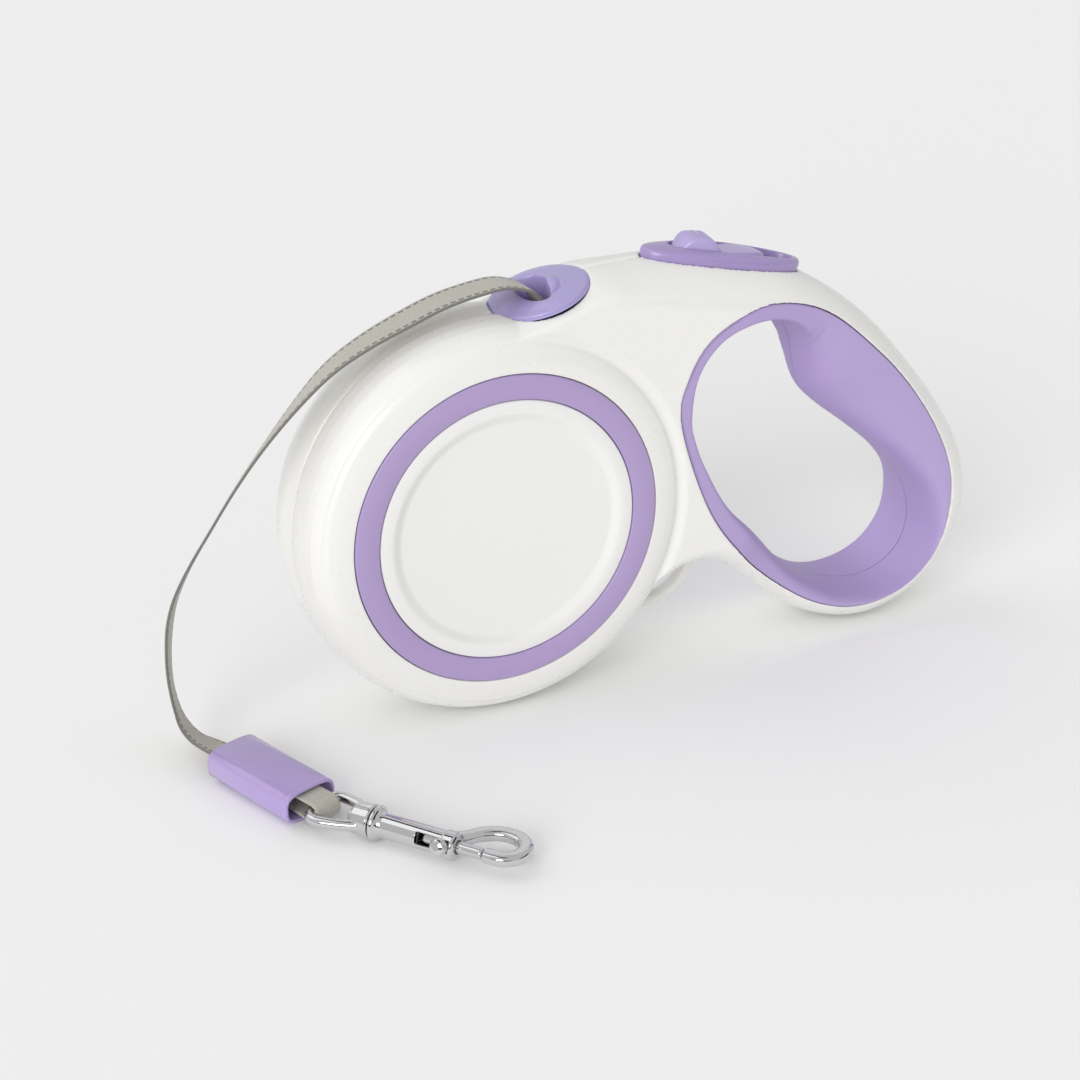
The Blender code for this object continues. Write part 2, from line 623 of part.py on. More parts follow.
def pin(name, centre):
    turned(name, ((0, -14.0), (PIN_R, -14.0), (PIN_R, 14.0), (0, 14.0)), STEEL, centre, steps=12)


def flat_section():
    w, t = TAPE_W / 2, TAPE_T / 2
    return ((-w, -t), (w, -t), (w, t), (-w, t))


def nozzle_outline(count, part):
    """Outline between the nozzle's rim (part 0) and the three-cornered throat (part 1)."""
    points = []
    for (ra, rb), (ta, tb) in zip(oval(NOZZLE_A, NOZZLE_B, count), oval(1, 1, count, 2.6)):
        left, right = -2.6, 1.8 + 2.2 * tb
        throat_a = (left + right) / 2 + ta * (right - left) / 2
        points.append((ra + (throat_a - ra) * part, rb + (7.4 * tb - rb) * part))
    return points


def nozzle_height(a, b, part):
    """Height of the dish: flush at its rim, crowned round the throat, with a lobe at its right."""
    crest = 1.2 * math.sin(0.5 * math.pi * min(part / 0.7, 1.0))
    lobe = 1.5 * math.exp(-((a - 3.4) / 2.6) ** 2 - ((b + 2.0) / 4.0) ** 2)
    drop = 3.0 * max(0.0, (part - 0.7) / 0.3) ** 2
    return crest + lobe * min(1.0, part * 3) - drop


def nozzle():
    """Nearly flat dish whose middle dives into a slot for the tape."""
    count = 28
    loops = []
    for part in (0.0, 0.15, 0.35, 0.55, 0.72, 0.88, 1.0):
        loops.append([nozzle_point(a, b, nozzle_height(a, b, part))
                      for a, b in nozzle_outline(count, part)])
    below = ((2.4, 7.2, 3.0, -4.6), (1.8, 7.0, 4.0, -8.6), (3.1, 8.4, 3.0, -8.6),
             (4.4, 9.2, 2.6, -6.0), (8.0, 11.4, 2.2, -3.2), (11.7, 13.3, 2.0, -2.0),
             (NOZZLE_A, NOZZLE_B, 2.0, -1.1))
    for ra, rb, power, h in below:
        loops.append([nozzle_point(a, b, h) for a, b in oval(ra, rb, count, power)])
    bm = bmesh.new()
    add_loft(bm, loops, closed=True)
    finish_object("tape_nozzle", bm, LAVENDER)


# ---------------------------------------------------------------- brake and lock
def crowned(s, y, h):
    """Point on the housing's top whose height falls away to the sides."""
    return on_arc(s, y, h - BEZEL_CROWN * (y / BEZEL_W) ** 2)


def thumb_height(s):
    """Height of the thumb button's top along the housing: a raised pad, then a dished tail."""
    pad = math.exp(-((s - 14.8) / 5.0) ** 4)
    dish = math.exp(-((s - 25.0) / 5.0) ** 2)
    return 1.7 + 3.6 * pad - 0.7 * dish


def brake():
    count = 32
    outer = oval(BEZEL_LEN, BEZEL_W, count, 2.2)
    inner = oval(OPEN_LEN, OPEN_W, count, 2.4)
    shift = OPEN_S - BEZEL_S
    rim = [(a * 0.975, b * 0.93) for a, b in outer]
    lip = [(a * 1.03, b * 1.09) for a, b in inner]
    bm = bmesh.new()
    loops = [[on_arc(BEZEL_S + a, b, -3.0) for a, b in outer]]
    for ring, ds, h in ((outer, 0.0, 1.4), (rim, 0.0, 2.5), (lip, shift, 2.5), (inner, shift, 1.6)):
        loops.append([crowned(BEZEL_S + ds + a, b, h) for a, b in ring])
    loops.append([on_arc(BEZEL_S + shift + a, b, -3.0) for a, b in inner])
    add_loft(bm, loops, closed=True)
    finish_object("button_bezel", bm, LAVENDER)

    stem = oval(THUMB_LEN, THUMB_W, count, 2.4)
    flange_low, flange_high, flange_wide = -5.0, -3.9, 1.3
    loops = [[on_arc(THUMB_S + a, b * flange_wide, h) for a, b in stem]
             for h in (flange_low, flange_high)]
    loops.append([on_arc(THUMB_S + a, b, flange_high) for a, b in stem])
    for scale, drop in ((1.0, 0.7), (0.93, 0.15), (0.6, 0.0), (0.25, 0.0)):
        loop = []
        for a, b in stem:
            s = THUMB_S + a * scale
            loop.append(crowned(s, b * scale, thumb_height(s) - drop))
        loops.append(loop)
    bm = bmesh.new()
    add_loft(bm, loops)
    finish_object("thumb_button", bm, LAVENDER, origin=on_arc(THUMB_S, 0, 0))
    brake_carrier()
    brake_pawl()


def brake_carrier():
    """Plate under the thumb button that hands its press to the pawl."""
    bm = bmesh.new()
    s_low, s_high = 9.0, 24.0
    corners = ((s_low, -6.0), (s_high, -6.0), (s_high, 6.0), (s_low, 6.0))
    add_loft(bm, [[on_arc(s, y, h) for s, y in corners] for h in (-8.0, -6.4)])
    plate = finish_object("brake_carrier", bm, DARK_PLASTIC, origin=on_arc(THUMB_S, 0, -7.2))
    bm = bmesh.new()
    corners = ((9.2, -9.4), (13.0, -9.4), (13.0, -5.0), (9.2, -5.0))
    add_loft(bm, [[on_arc(s, y, h) for s, y in corners] for h in (-8.6, -6.8)])
    boolean(plate, finish_object("carrier_foot", bm, DARK_PLASTIC), 'UNION')
    top = np.array(on_arc(20.5, 0, -8.0 - GAP))
    coil("button_spring", top, top - np.array((0, 0, 4.0)), 2.3, 0.32, 4)


def coil(name, start, end, radius, wire, turns):
    """Compression spring between two points."""
    ahead = (end - start) / np.linalg.norm(end - start)
    across = np.cross(ahead, (0.3, 1.0, 0.2))
    across /= np.linalg.norm(across)
    third = np.cross(ahead, across)
    length = np.linalg.norm(end - start) - 2 * wire
    per_turn = 8
    total = per_turn * turns
    centres = []
    for i in range(total + 1):
        angle = 2 * math.pi * i / per_turn
        round_part = across * radius * math.cos(angle) + third * radius * math.sin(angle)
        centres.append(start + ahead * (wire + length * i / total) + round_part)
    centres = np.array(centres)
    side, up = frames_along(centres, np.tile(ahead, (len(centres), 1)))
    bm = bmesh.new()
    sweep(bm, centres, side, up, circle_section(wire, 4))
    finish_object(name, bm, SPRING_STEEL)


def brake_pawl():
    """Lever that drops its tip between the reel's teeth when the button is pressed."""
    outline = ((25.8, 58.0), (27.2, 59.8), (29.2, 60.2), (46.0, 59.2), (62.8, 58.5), (62.8, 56.4),
               (46.0, 56.4), (36.0, 55.0), (34.6, 51.4), (44.4, 24.6), (43.4, 21.4), (41.6, 21.4),
               (40.4, 25.0), (29.4, 50.6), (26.4, 54.2))
    bm = bmesh.new()
    add_prism(bm, outline, -9.2, -7.0)
    pawl = finish_object("brake_pawl", bm, STEEL, origin=(PAWL_X, 0, PAWL_Z))
    bm = bmesh.new()
    add_plug(bm, (PAWL_X, PAWL_Z), PIN_R + GAP, -12, -4, 12)
    boolean(pawl, finish_object("pawl_bore", bm, STEEL), 'DIFFERENCE')
    pin("pawl_pin", (PAWL_X, PAWL_Z))


# ---------------------------------------------------------------- free tape, sleeve and snap
def free_tape():
    both = smooth_open([(*p, *(np.array(w, float) / np.linalg.norm(w))) for p, w in TAPE_ROUTE], 60)
    middles, hints = both[:, :3], both[:, 3:]
    side, up = frames_along(middles, hints)
    bm = bmesh.new()
    sweep(bm, middles, side, up, flat_section())
    finish_object("free_tape", bm, WEBBING)


def sleeve():
    """Flattened tube over the tape's stitched end."""
    start, end = np.array(SLEEVE_START), np.array(SLEEVE_END)
    ahead = (end - start) / np.linalg.norm(end - start)
    across = np.cross((0, 0, 1.0), ahead)
    across /= np.linalg.norm(across)
    up = np.cross(ahead, across)
    outer = oval(8.4, 4.5, 28, 3.6)
    inner = oval(7.0, 3.2, 28, 3.6)
    loops = []
    for section, at in ((outer, start), (outer, end), (inner, end), (inner, start)):
        loops.append([tuple(at + across * a + up * b) for a, b in section])
    bm = bmesh.new()
    add_loft(bm, loops, closed=True)
    finish_object("tape_sleeve", bm, LAVENDER)
    tape_loop(start, end, ahead, across, up)


def tape_loop(start, end, ahead, across, up):
    """The tape's end: doubled back through the snap's eye and stitched inside the sleeve."""
    bend = 2.65
    length = np.linalg.norm(end - start)
    path = [start + ahead * 1.2 + up * -bend * 0.55]
    path.append(start + ahead * (length - 8) + up * -bend * 0.8)
    for i in range(9):
        turn = math.pi * (i / 8 - 0.5)
        path.append(start + ahead * (length + 4.6 + bend * math.cos(turn))
                    + up * bend * math.sin(turn))
    path.append(start + ahead * (length - 8) + up * bend * 0.8)
    path.append(start + ahead * 6.0 + up * bend * 0.55)
    centres = np.array(path)
    side, rise = frames_along(centres, np.tile(across, (len(centres), 1)))
    w, t = TAPE_W / 2 - 2.0, TAPE_T / 2
    bm = bmesh.new()
    sweep(bm, centres, side, rise, ((-w, -t), (w, -t), (w, t), (-w, t)))
    finish_object("tape_end_loop", bm, WEBBING)


SNAP_UP = np.array((0.0, 0.0, 1.0))
SNAP_AHEAD = np.array(SNAP_DIR)
SNAP_LEFT = np.cross(SNAP_UP, SNAP_AHEAD)      # towards the housing


def snap_point(along, left, up):
    point = np.array(SNAP_START) + SNAP_AHEAD * along + SNAP_LEFT * left + SNAP_UP * up
    return tuple(point)


def snap_turned(name, profile, look, steps=16, closed=False, joined_to=None, operation='UNION'):
    """Body turned about the snap's own axis from a profile of (along, radius)."""
    loops = []
    for along, radius in profile:
        loops.append([snap_point(along, radius * math.cos(2 * math.pi * i / steps),
                                 radius * math.sin(2 * math.pi * i / steps)) for i in range(steps)])
    bm = bmesh.new()
    add_loft(bm, loops, closed)
    made = finish_object(name, bm, look, origin=tuple(SNAP_START))
    if joined_to:
        boolean(joined_to, made, operation)
    return made


def snap():
    eye()
    body = snap_turned("snap_body", ((13.4, 1.6), (13.4, 2.6), (14.5, 2.9), (14.5, 1.8), (20.6, 1.8),
                                     (20.6, 4.7), (21.6, 4.9), (22.2, 4.2), (23.4, 3.5), (44.2, 3.4),
                                     (BARREL_END, 2.9)), CHROME)
    hook(body)
    bolt()


def eye():
    """D-shaped ring with a collar, which turns on the snap's neck."""
    corners = ((17.6, 3.2), (13.6, 5.0), (9.5, 6.1), (6.2, 6.5), (4.1, 5.6), (3.1, 3.4), (3.0, 0.0))
    half = [snap_point(along, left, 0) for along, left in corners]
    other = [snap_point(along, -left, 0) for along, left in reversed(corners[:-1])]
    ring = smooth_open(half + other, 26)
    side, up = frames_along(ring, np.tile(SNAP_UP, (len(ring), 1)))
    bm = bmesh.new()
    sweep(bm, ring, side, up, circle_section(1.5, 8))
    made = finish_object("snap_eye", bm, CHROME, origin=tuple(SNAP_START))
    snap_turned("collar", ((14.9, 3.0), (14.9, 4.4), (18.6, 4.8), (20.3, 4.8), (20.3, 3.0)), CHROME,
                joined_to=made)
    snap_turned("collar_bore", ((12.0, 1.8 + GAP), (24.0, 1.8 + GAP)), CHROME, joined_to=made,
                operation='DIFFERENCE')


def hook(body):
    """Curved arm from the barrel round to the bolt's tip, then the bore and the knob's slot."""
    arm = smooth_open([snap_point(along, left, 0) for along, left in (
        (40.5, 2.4), (44.5, 4.2), (48.0, 8.2), (52.5, 10.6), (57.6, 10.4), (61.0, 7.6),
        (61.2, 3.4), (58.6, 0.6), (56.0, 0.0), (53.2, 0.0))], 26)
    side, up = frames_along(arm, np.tile(SNAP_UP, (len(arm), 1)))
    bm = bmesh.new()
    sweep(bm, arm, side, up, oval(1.7, 2.0, 10))
    boolean(body, finish_object("hook_arm", bm, CHROME), 'UNION')
    bore = BOLT_R + GAP
    snap_turned("barrel_bore", ((25.0, bore), (52.95, bore)), CHROME, joined_to=body,
                operation='DIFFERENCE')
    slot_low, slot_high = KNOB_AT - BOLT_TRAVEL - 1.7, KNOB_AT + 1.7
    bm = bmesh.new()
    loops = []
    for out in (0.0, 8.0):
        loops.append([knob_point(along, out, aside) for along, aside in (
            (slot_low, -1.6), (slot_high, -1.6), (slot_high, 1.6), (slot_low, 1.6))])
    add_loft(bm, loops)
    boolean(body, finish_object("knob_slot", bm, CHROME), 'DIFFERENCE')


def knob_point(along, out, aside):
    """Point beside the barrel on the thumb knob's side: out from its axis and aside from that."""
    turn = math.radians(158)
    return snap_point(along, out * math.cos(turn) - aside * math.sin(turn),
                      out * math.sin(turn) + aside * math.cos(turn))


def bolt():
    """Sprung rod that closes the hook, with its thumb knob."""
    rod = snap_turned("snap_bolt", ((BOLT_REAR, BOLT_R), (BOLT_TIP - 0.6, BOLT_R),
                                    (BOLT_TIP, BOLT_R - 0.6)), CHROME, steps=12)
    loops = []
    for out, radius in ((0.3, 1.2), (4.2, 1.2), (4.2, 2.0), (4.9, 2.3), (6.2, 2.3), (6.9, 1.6)):
        loops.append([knob_point(KNOB_AT + radius * math.cos(2 * math.pi * i / 14), out,
                                 radius * math.sin(2 * math.pi * i / 14)) for i in range(14)])
    bm = bmesh.new()
    add_loft(bm, loops)
    boolean(rod, finish_object("thumb_knob", bm, CHROME), 'UNION')
    coil("bolt_spring", np.array(snap_point(25.0 + GAP, 0, 0)),
         np.array(snap_point(BOLT_REAR - GAP, 0, 0)), 1.35, 0.25, 5)


def build():
    clear_scene()
    housing()
    reel()
    tape_guide()
    brake()
    free_tape()
    sleeve()
    snap()


build()
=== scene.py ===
"""Looks for the retractable tape leash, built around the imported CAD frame.

Lengths in the tables are millimetres from the reel's axis, as in the CAD source; world() turns
them into the frame's metres.
"""

import math

import bmesh
import bpy
import numpy as np
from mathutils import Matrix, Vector

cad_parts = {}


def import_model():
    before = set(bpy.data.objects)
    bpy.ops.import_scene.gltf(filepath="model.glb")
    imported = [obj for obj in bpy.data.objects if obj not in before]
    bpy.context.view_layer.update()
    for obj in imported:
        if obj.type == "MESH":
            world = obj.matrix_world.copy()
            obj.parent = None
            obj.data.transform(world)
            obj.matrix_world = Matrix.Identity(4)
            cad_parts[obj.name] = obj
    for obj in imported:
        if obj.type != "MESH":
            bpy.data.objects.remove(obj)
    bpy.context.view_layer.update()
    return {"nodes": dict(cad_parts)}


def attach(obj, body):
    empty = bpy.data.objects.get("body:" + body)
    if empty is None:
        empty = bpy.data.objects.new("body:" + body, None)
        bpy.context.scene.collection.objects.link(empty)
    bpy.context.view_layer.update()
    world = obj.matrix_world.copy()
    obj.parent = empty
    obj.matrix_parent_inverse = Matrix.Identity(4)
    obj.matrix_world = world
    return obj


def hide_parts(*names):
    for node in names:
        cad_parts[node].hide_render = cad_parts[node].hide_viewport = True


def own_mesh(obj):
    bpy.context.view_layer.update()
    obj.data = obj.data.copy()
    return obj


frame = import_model()

MM = 0.001
# points closer than this become one
MERGE = 1e-4
# clearance between touching pieces, and each shell's share of it at the parting plane
GAP = 0.3
SPLIT = GAP / 2
# housing: drum radius, rearmost point, half thicknesses of drum and web
DRUM_R = 58.6
HANDLE_BACK = 164.9
FACE_Y = 19.0
WEB_Y = 17.6
# hollow inside: wall at the rim, half depth
WALL = 2.2
CAVITY_Y = 14.6
# cutters run past the parting plane and past the flat face
PAST_SPLIT, PAST_FACE = -2.0, FACE_Y + 2
# side pocket, the ring and the disc in it, and the dish in the disc
POCKET_R, POCKET_Y = 46.1, 16.6
INLAY_BACK_Y = POCKET_Y + GAP
RING_OUT, RING_IN, RING_Y = 45.8, 38.8, 19.3
DISC_R = 38.5
DISH_OUT, DISH_IN, DISH_FLOOR = 35.3, 31.7, FACE_Y - 1.2
# arc that the housing's top follows under the button: centre and radius
ARC_X, ARC_Z, ARC_R = 52.0, -62.0, 130.0
# nozzle: centre, slope, half length and half width
NOZZLE_X, NOZZLE_Z, NOZZLE_SLOPE = 17.57, 62.05, math.radians(18.9)
NOZZLE_A, NOZZLE_B = 14.1, 15.7
# curled groove beside the nozzle's throat: centre along and across, radius, depth, width
CURL_A, CURL_B, CURL_R, CURL_DEEP, CURL_WIDE = 1.6, -3.2, 4.0, 1.7, 0.6
# bezel, its opening and the thumb button: place along the arc, half length, half width
BEZEL_S, BEZEL_LEN, BEZEL_W = 24.2, 26.2, 9.3
OPEN_S, OPEN_LEN, OPEN_W = 27.0, 20.4, 6.3
THUMB_S, THUMB_LEN, THUMB_W = 22.8, 15.2, 5.9
# fall of the bezel's crown at its sides, and the button's travel
BEZEL_CROWN, BRAKE_TRAVEL = 2.2, 2.0
# tape: width and thickness
TAPE_W, TAPE_T = 12.0, 0.8

# outline of the housing seen from its side: x, z, radius of the rounding there
OUTLINE = (
    (-16, 46, 5), (-5, 55.2, 5), (5, 58.3, 5), (18, 62.7, 5), (31, 66.8, 6.5), (42, 67.7, 9),
    (54, 68.0, 12), (67, 67.1, 14), (80, 64.9, 15), (92, 61.7, 15.5), (102.6, 57.0, 16),
    (112.6, 51.0, 16), (121.5, 44.4, 16), (130.2, 36.6, 16), (138.8, 27.2, 16), (146.7, 18.0, 16),
    (153.6, 8.8, 16), (159.0, 0.2, 16), (162.7, -7.8, 16), (164.6, -15.6, 16), (164.9, -23.4, 16),
    (163.4, -31.2, 16), (160.2, -38.2, 16), (155.9, -44.4, 15.5), (150.6, -49.6, 15),
    (144.2, -54.0, 14.5), (137.0, -57.0, 14), (129.2, -58.5, 13), (121.2, -58.2, 12),
    (113.4, -56.2, 11), (106.2, -53.2, 10.5), (98.6, -48.4, 10), (88.0, -39.6, 9),
    (77.0, -31.0, 8), (68.5, -27.2, 8), (60.5, -26.6, 7), (53.0, -29.4, 7), (42, -36, 7),
    (20, -46, 6), (-8, -49.5, 6), (-34, -36, 6), (-49, -6, 6), (-42, 26, 6))
# seat of the grip's lining, and the hand opening inside it: x, z
EGG = (
    (54.8, 22), (57.0, 36), (64.5, 46.6), (78.5, 53), (92, 52.5), (106, 47), (120, 36),
    (134.2, 22), (145.5, 6), (151.6, -8.5), (152.6, -22), (149.2, -36.4), (139.2, -46.4),
    (123, -50.2), (107, -46.6), (92, -37.3), (77, -23.4), (64.5, -5.5))
HOLE = (
    (59.0, 22.5), (60.6, 35), (67.5, 44), (77, 47.8), (87, 47.8), (95, 44.6), (99.6, 38.2),
    (101.8, 29), (104.6, 20.8), (111.4, 13.8), (122.9, 4.9), (135.4, -5.7), (144.8, -17.0),
    (148.6, -29.6), (146.0, -40.0), (138.0, -46.3), (126.8, -47.8), (112.1, -43.6), (97.1, -33.1),
    (85, -20), (72.5, -7.5), (64, 6.8), (60.2, 16))
GRIP_CENTRE = (92.0, 10.0)
# housing screws: x, z, where the head seats
SCREW_SPOTS = ((50.0, 50.0, 8.0), (60.8, -18.4, 8.0), (148.0, -45.2, 3.0), (-47.6, 21.0, 8.0),
               (-33.0, -40.4, 8.0), (17.5, -49.0, 8.0))
HEAD_R = 2.6

# the free tape's route points, and the direction of its width at each
TAPE_ROUTE = (
    ((20.3, 0.0, 53.6), (0, 1, 0)),
    ((17.3, 0.0, 59.6), (0, 1, 0)),
    ((14.0, 0.0, 63.3), (0, 1, 0)),
    ((7.4, 0.0, 65.5), (0, 1, 0)),
    ((0.6, -0.4, 65.5), (-0.05, 1, 0)),
    ((-11.8, -1.0, 63.4), (-0.03, 1, 0)),
    ((-23.6, -1.2, 59.3), (0, 1, 0)),
    ((-34.8, -1.2, 54.6), (0.04, 1, -0.06)),
    ((-44.8, -1.0, 48.7), (0.12, 1, -0.12)),
    ((-54.4, -0.6, 39.8), (0.25, 1, -0.19)),
    ((-63.8, 0.2, 29.0), (0.38, 1, -0.22)),
    ((-71.8, 1.2, 18.2), (0.44, 1, -0.21)),
    ((-79.2, 2.4, 6.8), (0.47, 1, -0.18)),
    ((-84.6, 3.6, -2.0), (0.51, 1, -0.13)),
    ((-88.6, 4.9, -10.2), (0.54, 1, -0.05)),
    ((-90.8, 6.2, -17.6), (0.52, 1, 0.07)),
    ((-91.8, 7.6, -26.0), (0.44, 1, 0.09)),
    ((-92.2, 8.3, -34.6), (0.36, 1, 0)),
    ((-92.0, 7.6, -42.4), (0.32, 1, -0.2)),
    ((-91.2, 5.2, -48.2), (0.46, 1, -0.57)),
    ((-89.6, 1.2, -51.8), (0.98, 1, -0.93)),
    ((-87.2, -3.4, -53.2), (1.64, 1, -0.91)),
    ((-84.8, -8.2, -53.5), (2.1, 1, -0.85)),
    ((-82.8, -12.9, -53.4), (2.4, 1, -0.84)))
# sleeve: its two ends, half sizes and squareness
SLEEVE_START = np.array((-82.4, -13.8, -53.4))
SLEEVE_END = np.array((-70.5, -45.3, -53.8))
SLEEVE_A, SLEEVE_B, SLEEVE_SQUARE = 8.4, 4.5, 3.6
# the tape's end loop: width, radius of its bend, and how far past the sleeve the bend's centre is
LOOP_W, LOOP_BEND, LOOP_REACH = 8.0, 2.65, 4.6
# snap: start of its axis, its three directions, and the barrel's far end
SNAP_START = np.array((-71.3, -46.2, -53.6))
SNAP_AHEAD = np.array((0.6, -0.8, 0.0))
SNAP_UP = np.array((0.0, 0.0, 1.0))
SNAP_LEFT = np.cross(SNAP_UP, SNAP_AHEAD)
BARREL_END = 45.4
# bolt: both ends, radius, and the travel by which it is drawn back
BOLT_REAR, BOLT_TIP, BOLT_R, BOLT_TRAVEL = 35.8, 52.7, 1.6, 6.5
# the bolt's knob: place along the snap and bearing round it, and half the width of its slot
KNOB_AT, KNOB_TURN = 42.4, math.radians(158)
SLOT_HALF = 1.6

# camera: place, direction of view, focal length and sensor width in mm
CAMERA_SPOT = (-210.5, -480.0, 229.5)
CAMERA_AHEAD = (0.3912, 0.8208, -0.4163)
LENS, SENSOR = 66.67, 36.0
# studio, in metres: half side of the floor, brightness of the surround
FLOOR_HALF = 60
SURROUND = 0.64


# ---------------------------------------------------------------- geometry helpers
def world(point):
    """Frame place in metres of a point in millimetres from the reel's axis."""
    x_mid = (HANDLE_BACK - DRUM_R) / 2
    x, y, z = point
    return Vector(((x - x_mid) * MM, y * MM, (z + DRUM_R) * MM))


def make_object(name, bm, sharp=35):
    """Object from a bmesh, smooth-shaded except at edges sharper than the angle."""
    bmesh.ops.remove_doubles(bm, verts=bm.verts, dist=MERGE)
    bmesh.ops.recalc_face_normals(bm, faces=bm.faces)
    for vert in bm.verts:
        vert.co = world(vert.co)
    mesh = bpy.data.meshes.new(name)
    bm.to_mesh(mesh)
    bm.free()
    mesh.shade_smooth()
    mesh.set_sharp_from_angle(angle=math.radians(sharp))
    obj = bpy.data.objects.new(name, mesh)
    bpy.context.scene.collection.objects.link(obj)
    return obj


def add_loft(bm, loops, closed=False):
    """Skin through loops of equal count, capped at both ends unless it closes on itself."""
    rings = [[bm.verts.new(p) for p in loop] for loop in loops]
    count = len(rings[0])
    pairs = list(zip(rings, rings[1:]))
    if closed:
        pairs.append((rings[-1], rings[0]))
    for low, high in pairs:
        for i in range(count):
            j = (i + 1) % count
            bm.faces.new((low[i], low[j], high[j], high[i]))
    if not closed:
        bm.faces.new(rings[0])
        bm.faces.new(rings[-1])


def add_turned(bm, profile, steps, centre=(0, 0), closed=False):
    """Profile of (radius, y) turned about an axis along y."""
    cx, cz = centre
    verts = [bm.verts.new((cx + r, y, cz)) for r, y in profile]
    edges = [bm.edges.new(pair) for pair in zip(verts, verts[1:])]
    if closed:
        edges.append(bm.edges.new((verts[-1], verts[0])))
    bmesh.ops.spin(bm, geom=verts + edges, cent=(cx, 0, cz), axis=(0, 1, 0),
                   angle=2 * math.pi, steps=steps, use_merge=True)
    bmesh.ops.remove_doubles(bm, verts=bm.verts, dist=MERGE)


def add_plug(bm, centre, radius, y_low, y_high):
    """Round bar along y."""
    add_turned(bm, ((0, y_low), (radius, y_low), (radius, y_high), (0, y_high)), 32, centre)


def add_prism(bm, outline, y_low, y_high):
    """Outline of (x, z) drawn out along y."""
    add_loft(bm, [[(x, y, z) for x, z in outline] for y in (y_low, y_high)])


def catmull(points):
    """Dense Catmull-Rom curve through all but the first and last points."""
    pts = np.array(points, float)
    dense = []
    for p0, p1, p2, p3 in zip(pts, pts[1:], pts[2:], pts[3:]):
        for t in np.linspace(0, 1, 16, endpoint=False):
            dense.append(0.5 * (2 * p1 + (p2 - p0) * t + (2 * p0 - 5 * p1 + 4 * p2 - p3) * t ** 2
                                + (3 * p1 - p0 - 3 * p2 + p3) * t ** 3))
    dense.append(pts[-2])
    return np.array(dense)


def evenly(dense, count, dims, closed):
    """Points evenly spread by the length that the first dims columns measure."""
    reach = np.concatenate([[0], np.cumsum(np.linalg.norm(np.diff(dense[:, :dims], axis=0), axis=1))])
    targets = np.linspace(0, reach[-1], count, endpoint=not closed)
    return np.stack([np.interp(targets, reach, dense[:, k]) for k in range(dense.shape[1])], 1)


def smooth_closed(points, count):
    """Even points on a smooth closed curve of (x, z, ...)."""
    pts = np.array(points, float)
    return evenly(catmull(np.vstack([pts[-1:], pts, pts[:2]])), count, 2, True)


def smooth_open(points, count):
    """Even points on a smooth curve of (x, y, z, ...) from the first point to the last."""
    pts = np.array(points, float)
    pts = np.vstack([2 * pts[0] - pts[1], pts, 2 * pts[-1] - pts[-2]])
    return evenly(catmull(pts), count, 3, False)


def inward_normals(outline):
    """Unit normals towards the inside of a closed clockwise outline of (x, z)."""
    ahead = np.roll(outline[:, :2], -1, axis=0) - np.roll(outline[:, :2], 1, axis=0)
    ahead /= np.linalg.norm(ahead, axis=1)[:, None]
    return np.stack([ahead[:, 1], -ahead[:, 0]], 1)


def polar_points(curve, angles):
    """Points of a closed curve at the given bearings from the grip's centre."""
    rel = curve[:, :2] - np.array(GRIP_CENTRE)
    bearing = np.arctan2(rel[:, 1], rel[:, 0])
    order = np.argsort(bearing)
    bearing, rel = bearing[order], rel[order]
    reach = np.interp(angles, bearing, np.hypot(rel[:, 0], rel[:, 1]), period=2 * math.pi)
    return np.stack([GRIP_CENTRE[0] + reach * np.cos(angles),
                     GRIP_CENTRE[1] + reach * np.sin(angles)], 1)


def offset_from_grip(points, distance):
    """Points moved away from the grip's centre by a distance."""
    centre = np.array(GRIP_CENTRE)
    reach = np.linalg.norm(points - centre, axis=1)
    return centre + (points - centre) * ((reach + distance) / reach)[:, None]


def frames_along(centres, hints):
    """Side and up directions along a path, the side as near as it can be to each hint."""
    ahead = np.gradient(centres, axis=0)
    ahead /= np.linalg.norm(ahead, axis=1)[:, None]
    side = hints - (hints * ahead).sum(1)[:, None] * ahead
    side /= np.linalg.norm(side, axis=1)[:, None]
    return side, np.cross(ahead, side)


def sweep(bm, centres, sides, ups, section):
    """Section of (side, up) carried along a path."""
    add_loft(bm, [[tuple(c + side * a + up * b) for a, b in section]
                  for c, side, up in zip(centres, sides, ups)])


def oval(half_a, half_b, count, power=2.0):
    """Superellipse; a higher power is squarer."""
    points = []
    for i in range(count):
        t = 2 * math.pi * i / count
        c, s = math.cos(t), math.sin(t)
        points.append((half_a * math.copysign(abs(c) ** (2 / power), c),
                       half_b * math.copysign(abs(s) ** (2 / power), s)))
    return points


def on_arc(s, y, h):
    """Point s along the housing's top arc, y across it and h above it."""
    turn = s / ARC_R
    return (ARC_X + (ARC_R + h) * math.sin(turn), y, ARC_Z + (ARC_R + h) * math.cos(turn))


def nozzle_point(a, b, h):
    """Point a along the nozzle's slope, b across it and h above its rim's plane."""
    c, s = math.cos(NOZZLE_SLOPE), math.sin(NOZZLE_SLOPE)
    return (NOZZLE_X + a * c - h * s, b, NOZZLE_Z + a * s + h * c)


def snap_point(along, left, up):
    """Point in the snap's own directions, from the start of its axis."""
    return tuple(SNAP_START + SNAP_AHEAD * along + SNAP_LEFT * left + SNAP_UP * up)


def knob_point(along, out, aside):
    """Point on the bolt's knob: out from the snap's axis, and aside from the knob's own."""
    c, s = math.cos(KNOB_TURN), math.sin(KNOB_TURN)
    return snap_point(along, out * c - aside * s, out * s + aside * c)


def add_snap_turned(bm, profile, steps=48):
    """Profile of (along, radius) turned about the snap's axis."""
    add_loft(bm, [[snap_point(along, radius * math.cos(2 * math.pi * i / steps),
                              radius * math.sin(2 * math.pi * i / steps)) for i in range(steps)]
                  for along, radius in profile])


